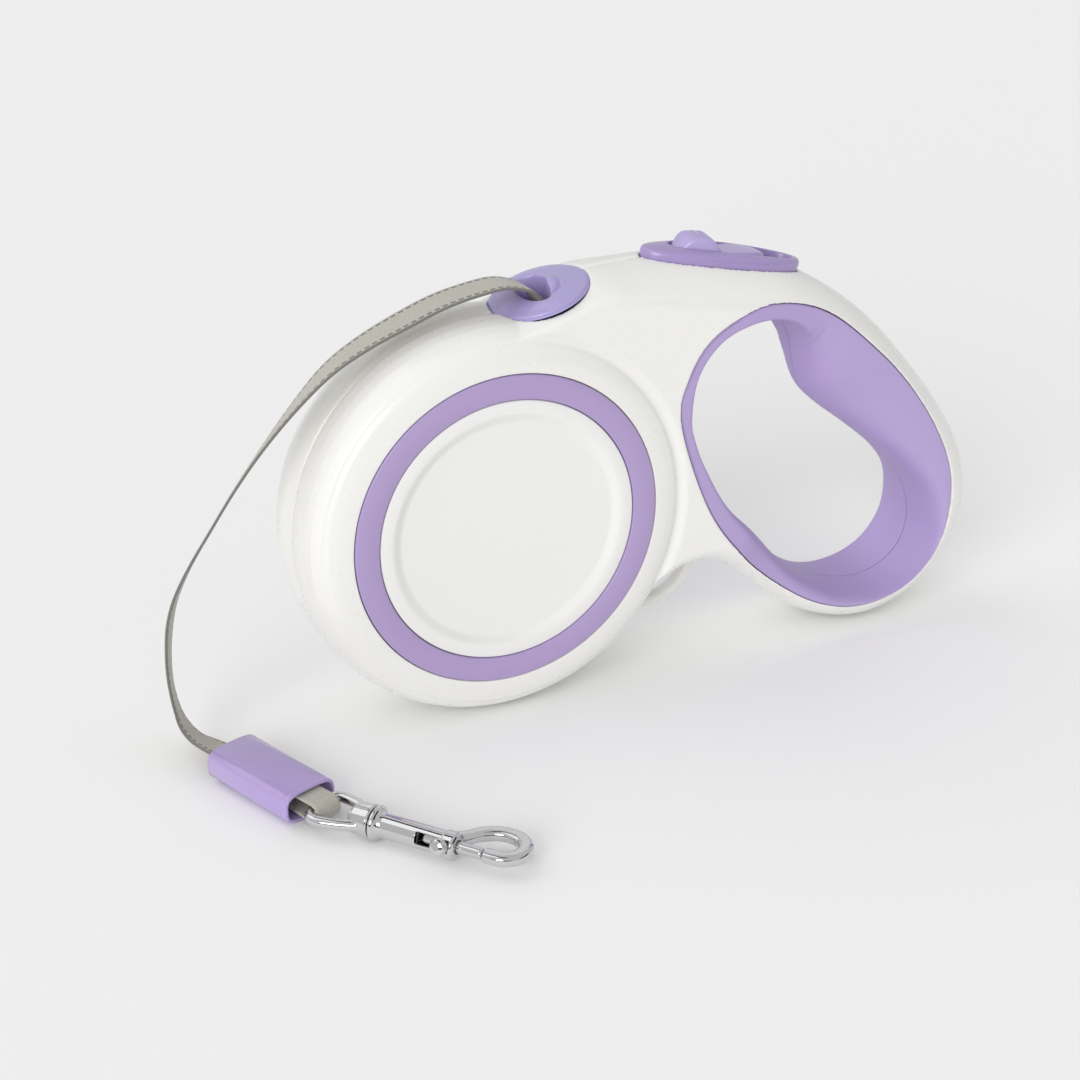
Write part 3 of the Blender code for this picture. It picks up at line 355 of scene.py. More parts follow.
def bake(obj):
    """Replace the object's mesh with its evaluated one and drop the modifiers."""
    dg = bpy.context.evaluated_depsgraph_get()
    mesh = bpy.data.meshes.new_from_object(obj.evaluated_get(dg), depsgraph=dg)
    obj.modifiers.clear()
    obj.data = mesh


def boolean(obj, other, operation):
    """Join or cut an object with another, which is used up."""
    modifier = obj.modifiers.new("cut", 'BOOLEAN')
    modifier.operation = operation
    modifier.object = other
    modifier.solver = 'MANIFOLD'
    bake(obj)
    bpy.data.objects.remove(other, do_unlink=True)


def soften(obj, voxel, passes):
    """Rebuild the surface on an even grid so that every edge gets a small moulded radius."""
    remesh = obj.modifiers.new("grid", 'REMESH')
    remesh.mode = 'VOXEL'
    remesh.voxel_size = voxel * MM
    smooth = obj.modifiers.new("smooth", 'SMOOTH')
    smooth.factor = 0.5
    smooth.iterations = passes
    bake(obj)


def place(obj, body, slot, mat, *nodes):
    """Give a piece its material and body, and hide the CAD nodes that it stands for; the slot is not
    used.
    """
    obj.data.materials.clear()
    obj.data.materials.append(mat)
    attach(obj, body)
    if nodes:
        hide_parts(*nodes)


# ---------------------------------------------------------------- materials
def new_material(name, colour, roughness, metallic=0.0, coat=0.0):
    """Plain material, with its node tree and its shader for more to be added."""
    mat = bpy.data.materials.new(name)
    mat.use_nodes = True
    shader = mat.node_tree.nodes["Principled BSDF"]
    shader.inputs["Base Color"].default_value = (*colour, 1.0)
    shader.inputs["Roughness"].default_value = roughness
    shader.inputs["Metallic"].default_value = metallic
    shader.inputs["Coat Weight"].default_value = coat
    shader.inputs["Coat Roughness"].default_value = 0.12
    return mat, mat.node_tree, shader


def add_bump(tree, shader, scale, strength, distance, detail=2.0, stretch=None):
    """Fine noise as a bump, stretched if asked."""
    coords = tree.nodes.new("ShaderNodeTexCoord")
    source = coords.outputs["Object"]
    if stretch:
        mapping = tree.nodes.new("ShaderNodeMapping")
        mapping.inputs["Scale"].default_value = stretch
        tree.links.new(source, mapping.inputs["Vector"])
        source = mapping.outputs["Vector"]
    noise = tree.nodes.new("ShaderNodeTexNoise")
    noise.inputs["Scale"].default_value = scale
    noise.inputs["Detail"].default_value = detail
    tree.links.new(source, noise.inputs["Vector"])
    bump = tree.nodes.new("ShaderNodeBump")
    bump.inputs["Strength"].default_value = strength
    bump.inputs["Distance"].default_value = distance
    tree.links.new(noise.outputs["Fac"], bump.inputs["Height"])
    tree.links.new(bump.outputs["Normal"], shader.inputs["Normal"])
    return noise


def moulded(name, colour, roughness, coat, grain, grain_scale=900, glow=0.0):
    """Moulded plastic or soft rubber: fine grain, uneven gloss, and a little light inside."""
    mat, tree, shader = new_material(name, colour, roughness, 0.0, coat)
    noise = add_bump(tree, shader, grain_scale, grain, 0.0002)
    ramp = tree.nodes.new("ShaderNodeMapRange")
    ramp.inputs["To Min"].default_value = roughness - 0.03
    ramp.inputs["To Max"].default_value = roughness + 0.04
    tree.links.new(noise.outputs["Fac"], ramp.inputs["Value"])
    tree.links.new(ramp.outputs["Result"], shader.inputs["Roughness"])
    shader.inputs["Subsurface Weight"].default_value = glow
    shader.inputs["Subsurface Radius"].default_value = (1.0, 1.0, 1.0)
    shader.inputs["Subsurface Scale"].default_value = 0.0012
    return mat


def metal(name, colour, roughness, grain, stretch=(1, 1, 1)):
    """Bare or plated metal with a fine grain, drawn out where it is turned."""
    mat, tree, shader = new_material(name, colour, roughness, 1.0)
    add_bump(tree, shader, 700, grain, 0.0002, 3.0, stretch)
    return mat


def woven(name):
    """Woven tape: ribs across, a stitched line near each edge, slightly uneven colour."""
    rib_pitch, yarn_pitch, stitch_pitch = 0.75, 0.62, 2.4
    stitch_inset, stitch_half, stitch_level, selvedge_wide = 1.35, 0.42, -0.35, 0.55
    mat, tree, shader = new_material(name, (0.45, 0.43, 0.38), 0.82)
    shader.inputs["Sheen Weight"].default_value = 0.3
    uv = tree.nodes.new("ShaderNodeUVMap")
    uv.uv_map = "tape"
    split = tree.nodes.new("ShaderNodeSeparateXYZ")
    tree.links.new(uv.outputs["UV"], split.inputs["Vector"])

    def math_node(operation, a, b=None):
        node = tree.nodes.new("ShaderNodeMath")
        node.operation = operation
        for socket, value in zip(node.inputs, (a, b)):
            if value is None:
                continue
            if isinstance(value, (int, float)):
                socket.default_value = value
            else:
                tree.links.new(value, socket)
        return node.outputs["Value"]

    across, along = split.outputs["X"], split.outputs["Y"]
    rib = math_node('SINE', math_node('MULTIPLY', along, 2 * math.pi / rib_pitch))
    yarn = math_node('SINE', math_node('MULTIPLY', across, 2 * math.pi / yarn_pitch))
    weave = math_node('MULTIPLY', rib, yarn)
    height = math_node('ADD', math_node('MULTIPLY', rib, 0.5), math_node('MULTIPLY', weave, 0.5))
    off_edge = math_node('SUBTRACT', TAPE_W / 2, math_node('ABSOLUTE', across))
    from_line = math_node('ABSOLUTE', math_node('SUBTRACT', off_edge, stitch_inset))
    line = math_node('LESS_THAN', from_line, stitch_half)
    wave = math_node('SINE', math_node('MULTIPLY', along, 2 * math.pi / stitch_pitch))
    dash = math_node('GREATER_THAN', wave, stitch_level)
    stitch = math_node('MULTIPLY', line, dash)
    selvedge = math_node('LESS_THAN', off_edge, selvedge_wide)
    dark = math_node('MAXIMUM', stitch, math_node('MULTIPLY', selvedge, 0.75))
    noise = tree.nodes.new("ShaderNodeTexNoise")
    noise.inputs["Scale"].default_value = 1.3
    noise.inputs["Detail"].default_value = 6.0
    tree.links.new(uv.outputs["UV"], noise.inputs["Vector"])
    shade_mix = tree.nodes.new("ShaderNodeMix")
    shade_mix.data_type = 'RGBA'
    shade_mix.inputs["A"].default_value = (0.36, 0.34, 0.29, 1)
    shade_mix.inputs["B"].default_value = (0.56, 0.54, 0.48, 1)
    tree.links.new(noise.outputs["Fac"], shade_mix.inputs["Factor"])
    colour_mix = tree.nodes.new("ShaderNodeMix")
    colour_mix.data_type = 'RGBA'
    colour_mix.inputs["B"].default_value = (0.10, 0.095, 0.09, 1)
    tree.links.new(shade_mix.outputs["Result"], colour_mix.inputs["A"])
    tree.links.new(dark, colour_mix.inputs["Factor"])
    tree.links.new(colour_mix.outputs["Result"], shader.inputs["Base Color"])
    bump = tree.nodes.new("ShaderNodeBump")
    bump.inputs["Strength"].default_value = 0.5
    bump.inputs["Distance"].default_value = 0.00015
    tree.links.new(math_node('SUBTRACT', height, math_node('MULTIPLY', stitch, 1.5)),
                   bump.inputs["Height"])
    tree.links.new(bump.outputs["Normal"], shader.inputs["Normal"])
    return mat


WHITE = moulded("white_plastic", (0.83, 0.825, 0.80), 0.28, 0.2, 0.004, 500, glow=0.06)
DISC_WHITE = moulded("disc_white", (0.83, 0.825, 0.81), 0.24, 0.25, 0.02, glow=0.06)
RING_LAVENDER = moulded("ring_lavender", (0.415, 0.315, 0.56), 0.42, 0.0, 0.06)
GRIP_LAVENDER = moulded("grip_lavender", (0.43, 0.335, 0.60), 0.50, 0.0, 0.08, 1500)
BUTTON_LAVENDER = moulded("button_lavender", (0.36, 0.275, 0.535), 0.28, 0.2, 0.008)
THUMB_LAVENDER = moulded("thumb_lavender", (0.44, 0.36, 0.64), 0.30, 0.2, 0.006)
NOZZLE_LAVENDER = moulded("nozzle_lavender", (0.39, 0.34, 0.63), 0.28, 0.25, 0.01)
SLEEVE_LAVENDER = moulded("sleeve_lavender", (0.41, 0.31, 0.60), 0.18, 0.5, 0.02)
INNER = moulded("inner_plastic", (0.55, 0.55, 0.53), 0.5, 0.0, 0.08)
DARK = moulded("dark_plastic", (0.05, 0.05, 0.055), 0.5, 0.0, 0.08)
STEEL = metal("steel", (0.62, 0.62, 0.64), 0.32, 0.12, (1, 12, 1))
SPRING = metal("spring_steel", (0.32, 0.33, 0.35), 0.38, 0.1)
BRASS = metal("brass", (0.72, 0.55, 0.28), 0.35, 0.1)
CHROME = metal("chrome", (0.66, 0.66, 0.67), 0.08, 0.03)
WEBBING = woven("webbing")


# ---------------------------------------------------------------- housing
BODY_COUNT = 360
EDGE_STEPS = 18
VOXEL = 0.38
BODY = smooth_closed(OUTLINE, BODY_COUNT)
BODY_IN = inward_normals(BODY)
FINE_OUTLINE = smooth_closed(OUTLINE, 1500)
EGG_CURVE = smooth_closed(EGG, 720)
HOLE_CURVE = smooth_closed(HOLE, 720)


def body_loops(side, shrink, half_y, steps, groove=0.0):
    """Loops from the parting plane out to the flat side, rounded as the outline says."""
    loops = []
    for k in range(steps + 1):
        turn = 0.5 * math.pi * k / steps
        depth = shrink + np.maximum(BODY[:, 2] - shrink, 1.5) * (1 - math.cos(turn))
        y = max(half_y * math.sin(turn), SPLIT)
        depth = depth + groove * math.exp(-(y / 0.8) ** 2)
        points = BODY[:, :2] + BODY_IN * depth[:, None]
        loops.append([(x, side * y, z) for x, z in points])
    return loops


def surface_half_width(x, z):
    """Half thickness of the web at a place seen from the side."""
    gaps = np.hypot(FINE_OUTLINE[:, 0] - x, FINE_OUTLINE[:, 1] - z)
    near = int(np.argmin(gaps))
    rounding = FINE_OUTLINE[near, 2]
    depth = min(gaps[near], rounding)
    return WEB_Y * math.sqrt(1 - ((rounding - depth) / rounding) ** 2)


def drum(side, steps):
    """Round body of one half, solid."""
    outer = ((0, SPLIT), (56.7, SPLIT), (57.3, 0.8), (58.0, 2.2), (58.5, 4.2), (DRUM_R, 5.6),
             (58.45, 8.2), (57.8, 11.2), (56.7, 14.0), (55.1, 16.2), (53.0, 17.6), (50.4, 18.45),
             (48.0, 18.85), (46.4, FACE_Y), (0, FACE_Y))
    bm = bmesh.new()
    add_turned(bm, [(r, side * y) for r, y in outer], steps=steps)
    return make_object("drum", bm)


def cavity(side):
    """Hollow of one shell: the body's and the drum's, with a wall left round the grip."""
    over = -1.0
    bm = bmesh.new()
    loops = [loop[::5] for loop in body_loops(side, WALL, CAVITY_Y, 4)]
    loops.insert(0, [(x, side * over, z) for x, _, z in loops[0]])
    add_loft(bm, loops)
    space = make_object("cavity", bm)
    bm = bmesh.new()
    profile = ((0, over), (55.4, over), (55.2, 7.0), (52.6, 13.0), (46.0, CAVITY_Y), (0, CAVITY_Y))
    add_turned(bm, [(r, side * y) for r, y in profile], steps=64)
    boolean(space, make_object("reel_space", bm), 'UNION')
    bm = bmesh.new()
    angles = np.linspace(-math.pi, math.pi, 72, endpoint=False)
    add_prism(bm, offset_from_grip(polar_points(EGG_CURVE, angles), 2.4), side * PAST_SPLIT,
              side * PAST_FACE)
    boolean(space, make_object("opening_wall", bm), 'DIFFERENCE')
    return space


def shell(side, name):
    """One half of the housing: body and drum in one, cut, softened and hollowed."""
    bm = bmesh.new()
    add_loft(bm, body_loops(side, 0.0, WEB_Y, EDGE_STEPS, 0.5))
    body = make_object(name, bm)
    boolean(body, drum(side, 256), 'UNION')
    bm = bmesh.new()
    angles = np.linspace(-math.pi, math.pi, 240, endpoint=False)
    add_prism(bm, polar_points(EGG_CURVE, angles), side * PAST_SPLIT, side * PAST_FACE)
    boolean(body, make_object("grip_cut", bm), 'DIFFERENCE')
    bm = bmesh.new()
    crease = ((52.2, 18.4), (53.0, 17.6), (54.3, 16.5), (55.4, 16.6), (57.8, 17.8),
              (57.8, PAST_FACE), (52.2, PAST_FACE))
    add_turned(bm, [(r, side * y) for r, y in crease], steps=192, closed=True)
    boolean(body, make_object("drum_crease", bm), 'DIFFERENCE')
    bm = bmesh.new()
    outline = oval(BEZEL_LEN + GAP, BEZEL_W + GAP, 96, 2.2)
    add_loft(bm, [[on_arc(BEZEL_S + a, b, h) for a, b in outline] for h in (-7.5, 9.0)])
    boolean(body, make_object("button_hole", bm), 'DIFFERENCE')
    bm = bmesh.new()
    outline = oval(NOZZLE_A + GAP, NOZZLE_B + GAP, 96)
    inner = oval(12.0, 13.6, 96)
    add_loft(bm, [[nozzle_point(a, b, h) for a, b in ring]
                  for ring, h in ((inner, -9.0), (inner, -3.6), (outline, -1.4), (outline, 8.0))])
    boolean(body, make_object("nozzle_hole", bm), 'DIFFERENCE')
    if side > 0:
        bm = bmesh.new()
        for x, z, seat in SCREW_SPOTS:
            add_plug(bm, (x, z), HEAD_R + GAP, seat, PAST_FACE)
        boolean(body, make_object("screw_recesses", bm), 'DIFFERENCE')
        boolean(body, loop_bar(), 'UNION')
    soften(body, VOXEL, 8)
    bm = bmesh.new()
    pocket = ((0, POCKET_Y), (POCKET_R, POCKET_Y), (POCKET_R, 18.75), (POCKET_R + 0.1, 18.92),
              (POCKET_R + 0.35, FACE_Y), (POCKET_R + 0.8, FACE_Y + 0.1),
              (POCKET_R + 0.8, PAST_FACE), (0, PAST_FACE))
    add_turned(bm, [(r, side * y) for r, y in pocket], steps=256)
    boolean(body, make_object("pocket", bm), 'DIFFERENCE')
    boolean(body, cavity(side), 'DIFFERENCE')
    body.data.shade_smooth()
    body.data.set_sharp_from_angle(angle=math.radians(40))
    place(body, "housing", "white_plastic", WHITE, name)


def loop_bar():
    """Bar of the lanyard loop under the waist."""
    bar = smooth_open(((69.5, 2.8, -25.4), (69.6, 2.8, -31.5), (66.0, 2.8, -37.6),
                       (59.4, 2.8, -41.6), (52.0, 2.8, -42.2), (44.6, 2.8, -37.4)), 60)
    side, up = frames_along(bar, np.tile((0.0, 1.0, 0.0), (len(bar), 1)))
    bm = bmesh.new()
    sweep(bm, bar, side, up, oval(2.4, 1.7, 32, 2.6))
    return make_object("loop_bar", bm)


def inlays(side, word):
    """Ring, dished disc and grip lining of one side."""
    ring = ((RING_IN, INLAY_BACK_Y), (RING_OUT, INLAY_BACK_Y), (RING_OUT, 18.95),
            (RING_OUT - 0.12, 19.18), (RING_OUT - 0.4, RING_Y), (RING_IN + 0.4, RING_Y),
            (RING_IN + 0.12, 19.18), (RING_IN, 18.95))
    bm = bmesh.new()
    add_turned(bm, [(r, side * y) for r, y in ring], steps=256, closed=True)
    place(make_object(word + "_ring", bm, 50), "housing", "lavender_plastic", RING_LAVENDER,
          word + "_ring_inlay")
    profile = [(0, INLAY_BACK_Y), (DISC_R, INLAY_BACK_Y), (DISC_R, 18.7), (DISC_R - 0.1, 18.9),
               (DISC_R - 0.35, FACE_Y)]
    for t in np.linspace(0, 1, 15):
        profile.append((DISH_OUT + (DISH_IN - DISH_OUT) * t,
                        FACE_Y + (DISH_FLOOR - FACE_Y) * (3 * t * t - 2 * t ** 3)))
    profile += [(18.0, DISH_FLOOR), (0, DISH_FLOOR)]
    bm = bmesh.new()
    add_turned(bm, [(r, side * y) for r, y in profile], steps=256)
    place(make_object(word + "_disc", bm, 50), "housing", "white_plastic", DISC_WHITE,
          word + "_side_disc")
    grip_half(side, word)


def grip_fullness(angle):
    """How full the grip's lining is at a bearing: flat towards the drum, round towards the rear."""
    spots = ((-180, 9.0), (-140, 9.0), (-105, 4.5), (-80, 2.6), (-50, 2.15), (0, 2.05), (60, 2.05),
             (70, 2.2), (76, 3.5), (81, 7.0), (86, 9.0), (180, 9.0))
    bearings, fullness = zip(*spots)
    return float(np.interp(math.degrees(angle), bearings, fullness))


def grip_half(side, word):
    """Lining from the housing's face over a rounded lip into the hand opening."""
    count = 480
    angles = np.linspace(-math.pi, math.pi, count, endpoint=False)
    egg = offset_from_grip(polar_points(EGG_CURVE, angles), -GAP)
    hole = polar_points(HOLE_CURVE, angles)
    stations = [math.sin(0.5 * math.pi * k / 26) for k in range(27)]
    tops = np.array([surface_half_width(x, z) for x, z in egg]) - 0.15
    powers = np.array([grip_fullness(a) for a in angles])
    loops = [[(x, side * SPLIT, z) for x, z in egg]]
    loops.append([(x, side * (t - 0.35), z) for (x, z), t in zip(egg, tops)])
    for n, u in enumerate(stations):
        inset = 0.3 if n == 0 else 0.0
        loop = []
        for (ex, ez), (hx, hz), power, top in zip(egg, hole, powers, tops):
            length = math.hypot(hx - ex, hz - ez)
            v = max(u, inset / max(length, 0.5))
            rise = max(0.0, 1 - v ** power) ** (1 / power)
            loop.append((ex + (hx - ex) * v, side * (SPLIT + (top - SPLIT) * rise),
                         ez + (hz - ez) * v))
        loops.append(loop)
    bm = bmesh.new()
    add_loft(bm, loops, closed=True)
    place(make_object(word + "_grip", bm, 45), "housing", "soft_lavender", GRIP_LAVENDER,
          word + "_grip_inlay")


def nozzle_outline(count, part):
    """Outline between the nozzle's rim (part 0) and its three-cornered throat (part 1)."""
    points = []
    for (ra, rb), (ta, tb) in zip(oval(NOZZLE_A, NOZZLE_B, count), oval(1, 1, count, 2.6)):
        left, right = -2.6, 1.8 + 2.2 * tb
        throat_a = (left + right) / 2 + ta * (right - left) / 2
        points.append((ra + (throat_a - ra) * part, rb + (7.4 * tb - rb) * part))
    return points


def nozzle_height(a, b, part):
    """Dish: flush at the rim, crowned round the throat, a lobe at its right with a curled edge."""
    rim = 0.35 * (1 - math.exp(-(part / 0.02) ** 2)) - 0.35
    crest = 1.2 * math.sin(0.5 * math.pi * min(part / 0.7, 1.0))
    lobe = 2.3 * math.exp(-((a - 3.4) / 2.6) ** 2 - ((b + 2.0) / 4.0) ** 2)
    start = 0.72 + 0.14 * max(0.0, min(1.0, (a + 1.0) / 3.0))
    drop = 6.0 * max(0.0, (part - start) / (1 - start)) ** 1.4
    turn = math.degrees(math.atan2(b - CURL_B, a - CURL_A))
    if turn < -150:
        turn += 360
    fade = max(0.0, min(1.0, (25 - turn) / 110)) * max(0.0, min(1.0, (turn + 152) / 22))
    off = math.hypot(a - CURL_A, b - CURL_B) - CURL_R
    curl = CURL_DEEP * math.exp(-(off / CURL_WIDE) ** 2) * fade
    return rim + crest + lobe * min(1.0, part * 3) - drop - curl


def nozzle():
    """Nearly flat dish whose middle dives into a slot for the tape."""
    count, steps, flange = 160, 56, 0.26
    loops = []
    for k in range(steps + 1):
        part = (k / steps) ** 0.9
        loops.append([nozzle_point(a, b, nozzle_height(a, b, part))
                      for a, b in nozzle_outline(count, part)])
    below = ((2.5, 7.25, 2.8, -3.6), (2.2, 7.1, 3.2, -5.6), (1.8, 7.0, 4.0, -8.6),
             (3.1, 8.4, 3.0, -8.6), (4.4, 9.2, 2.6, -6.0), (8.0, 11.4, 2.2, -3.2),
             (11.7, 13.3, 2.0, -2.0), (NOZZLE_A + flange, NOZZLE_B + flange, 2.0, -1.2),
             (NOZZLE_A + flange, NOZZLE_B + flange, 2.0, -0.5), (NOZZLE_A, NOZZLE_B, 2.0, -0.45))
    for ra, rb, power, h in below:
        loops.append([nozzle_point(a, b, h) for a, b in oval(ra, rb, count, power)])
    bm = bmesh.new()
    add_loft(bm, loops, closed=True)
    place(make_object("nozzle", bm, 60), "housing", "lavender_plastic", NOZZLE_LAVENDER,
          "tape_nozzle")


# ---------------------------------------------------------------- button
def crowned(s, y, h):
    """Point on the housing's top whose height falls away to the sides."""
    return on_arc(s, y, h - BEZEL_CROWN * (y / BEZEL_W) ** 2)


def thumb_height(s, y):
    """Top of the thumb button: raised pad, then a dish, then a rounded tongue."""
    pad = math.exp(-((s - 14.8) / 5.0) ** 4)
    hollow = math.exp(-((s - 24.0) / 4.2) ** 2)
    tail = max(0.0, (s - 34.0) / 4.0) ** 2
    return 1.9 + 3.5 * pad - 0.9 * hollow - 0.5 * tail + 0.02 * y * y * (1 - pad)


def brake_button():
    """Bezel with its opening, and the thumb button with three grip ridges."""
    count = 160
    outer = oval(BEZEL_LEN, BEZEL_W, count, 2.2)
    inner = oval(OPEN_LEN, OPEN_W, count, 2.4)
    loops = [[on_arc(BEZEL_S + a, b, -3.0) for a, b in outer]]
    for k in range(0, 11):
        turn = 0.5 * math.pi * k / 10
        slim, low = 1 - math.cos(turn), math.sin(turn)
        loops.append([crowned(BEZEL_S + a * (1 - 0.045 * slim), b * (1 - 0.14 * slim),
                              0.7 + 1.8 * low) for a, b in outer])
    for k in range(0, 7):
        turn = 0.5 * math.pi * k / 6
        loops.append([crowned(OPEN_S + a * (1.03 - 0.03 * math.sin(turn)),
                              b * (1.09 - 0.09 * math.sin(turn)), 1.9 + 0.6 * math.cos(turn))
                      for a, b in inner])
    loops.append([on_arc(OPEN_S + a, b, -3.0) for a, b in inner])
    bm = bmesh.new()
    add_loft(bm, loops, closed=True)
    place(make_object("bezel", bm, 50), "housing", "lavender_plastic", BUTTON_LAVENDER,
          "button_bezel")

    stem = oval(THUMB_LEN, THUMB_W, count, 2.4)
    loops = [[on_arc(THUMB_S + a, b * 1.3, h) for a, b in stem] for h in (-5.0, -3.9)]
    loops.append([on_arc(THUMB_S + a, b, -3.9) for a, b in stem])
    scales = [(1.0, 1.7), (0.993, 1.1), (0.975, 0.6), (0.945, 0.25), (0.9, 0.06)]
    scales += [(0.86 - 0.04 * k, 0.0) for k in range(21)]
    for scale, drop in scales:
        loop = []
        for a, b in stem:
            s, y = THUMB_S + a * scale, b * scale
            loop.append(crowned(s, y, thumb_height(s, y) - drop))
        loops.append(loop)
    bm = bmesh.new()
    add_loft(bm, loops)
    for s_mid in (12.4, 14.6, 16.8):
        rows = []
        for y in np.linspace(-3.4, 3.4, 15):
            fade = math.sqrt(max(0.0, 1 - (y / 3.5) ** 2))
            top = thumb_height(s_mid, y) - 0.1
            rows.append([crowned(s_mid + 0.38 * fade * math.cos(t), y,
                                 top + 0.42 * fade * math.sin(t) if t <= math.pi else top - 0.4)
                         for t in (0, 0.5, 1.0, 1.57, 2.1, 2.6, math.pi, 4.2, 5.2)])
        add_loft(bm, rows)
    place(make_object("thumb", bm, 40), "button", "lavender_plastic", THUMB_LAVENDER,
          "thumb_button")


# ---------------------------------------------------------------- tape, sleeve, snap
def tape_path(count):
    """Middle points along the free tape, and the direction of its width at each."""
    rows = [(*p, *(np.array(w, float) / np.linalg.norm(w))) for p, w in TAPE_ROUTE]
    both = smooth_open(rows, count)
    return both[:, :3], both[:, 3:]


def tape_section(width):
    """Points round a flat tape with soft edges."""
    w, t = width / 2, TAPE_T / 2
    top = [(a, t * (1 - 0.10 * (a / w) ** 8)) for a in np.linspace(w - 0.25, -w + 0.25, 15)]
    left = [(-w, t * 0.35), (-w, -t * 0.35)]
    return top + left + [(-a, -b) for a, b in top] + [(w, -t * 0.35), (w, t * 0.35)]


def tape_mesh(name, centres, hints, width):
    """Flat tape along a path, with its own map of millimetres across and along for the weave."""
    side, up = frames_along(centres, hints)
    section = tape_section(width)
    reach = np.concatenate([[0], np.cumsum(np.linalg.norm(np.diff(centres, axis=0), axis=1))])
    bm = bmesh.new()
    uv = bm.loops.layers.uv.new("tape")
    across = bm.verts.layers.float.new("across")
    along = bm.verts.layers.float.new("along")
    rings = []
    for c, s, u, r in zip(centres, side, up, reach):
        ring = []
        for a, b in section:
            vert = bm.verts.new(tuple(c + s * a + u * b))
            vert[across] = a
            vert[along] = r
            ring.append(vert)
        rings.append(ring)
    for low, high in zip(rings, rings[1:]):
        for i in range(len(section)):
            j = (i + 1) % len(section)
            bm.faces.new((low[i], low[j], high[j], high[i]))
    bm.faces.new(rings[0])
    bm.faces.new(rings[-1])
    for face in bm.faces:
        for loop in face.loops:
            loop[uv].uv = (loop.vert[across], loop.vert[along])
    return make_object(name, bm, 60)


def tape():
    """Free tape from the reel to the sleeve, with its path and length."""
    middles, hints = tape_path(420)
    ribbon = tape_mesh("tape", middles, hints, TAPE_W)
    place(ribbon, "housing", "webbing", WEBBING, "free_tape")
    route, _ = tape_path(120)
    path = [tuple(world(p)) for p in route]
    length = sum((Vector(a) - Vector(b)).length for a, b in zip(path, path[1:]))
    return ribbon, path, length


def sleeve():
    """Flattened tube over the stitched end, and the tape's loop through the snap's eye."""
    start, end = SLEEVE_START, SLEEVE_END
    ahead = (end - start) / np.linalg.norm(end - start)
    across = np.cross((0, 0, 1.0), ahead)
    across /= np.linalg.norm(across)
    up = np.cross(ahead, across)
    length = np.linalg.norm(end - start)

    def ring(half_a, half_b, at):
        centre = start + ahead * at
        return [tuple(centre + across * a + up * b)
                for a, b in oval(half_a, half_b, 128, SLEEVE_SQUARE)]

    loops = [ring(7.0, 3.2, length * 0.5), ring(7.3, 3.5, 0.5), ring(7.4, 3.6, 0.1)]
    for at, trim in ((0.0, 0.45), (0.12, 0.15), (0.4, 0.0), (length - 2.6, 0.0),
                     (length - 2.3, 0.12), (length - 2.0, 0.0), (length - 0.4, 0.0),
                     (length - 0.12, 0.15), (length, 0.45)):
        loops.append(ring(SLEEVE_A - trim, SLEEVE_B - trim, at))
    loops.append(ring(7.6, 3.75, length - 0.1))
    loops.append(ring(7.5, 3.65, length - 0.5))
    loops.append(ring(7.3, 3.5, length - 6.0))
    bm = bmesh.new()
    add_loft(bm, loops, closed=True)
    tube = make_object("sleeve", bm, 35)
    place(tube, "housing", "lavender_plastic", SLEEVE_LAVENDER, "tape_sleeve")

    turns = math.pi * (np.arange(15) / 14 - 0.5)
    flat = [(1.2, -0.55), (length - 8, -0.8)]
    flat += [(length + LOOP_REACH + LOOP_BEND * math.cos(t), math.sin(t)) for t in turns]
    flat += [(length - 8, 0.8), (6.0, 0.55)]
    path = np.array([start + ahead * at + up * LOOP_BEND * high for at, high in flat])
    centres = evenly(path, 140, 3, False)
    loop = tape_mesh("end_loop", centres, np.tile(across, (len(centres), 1)), LOOP_W)
    place(loop, "housing", "webbing", WEBBING, "tape_end_loop")
    return tube, loop


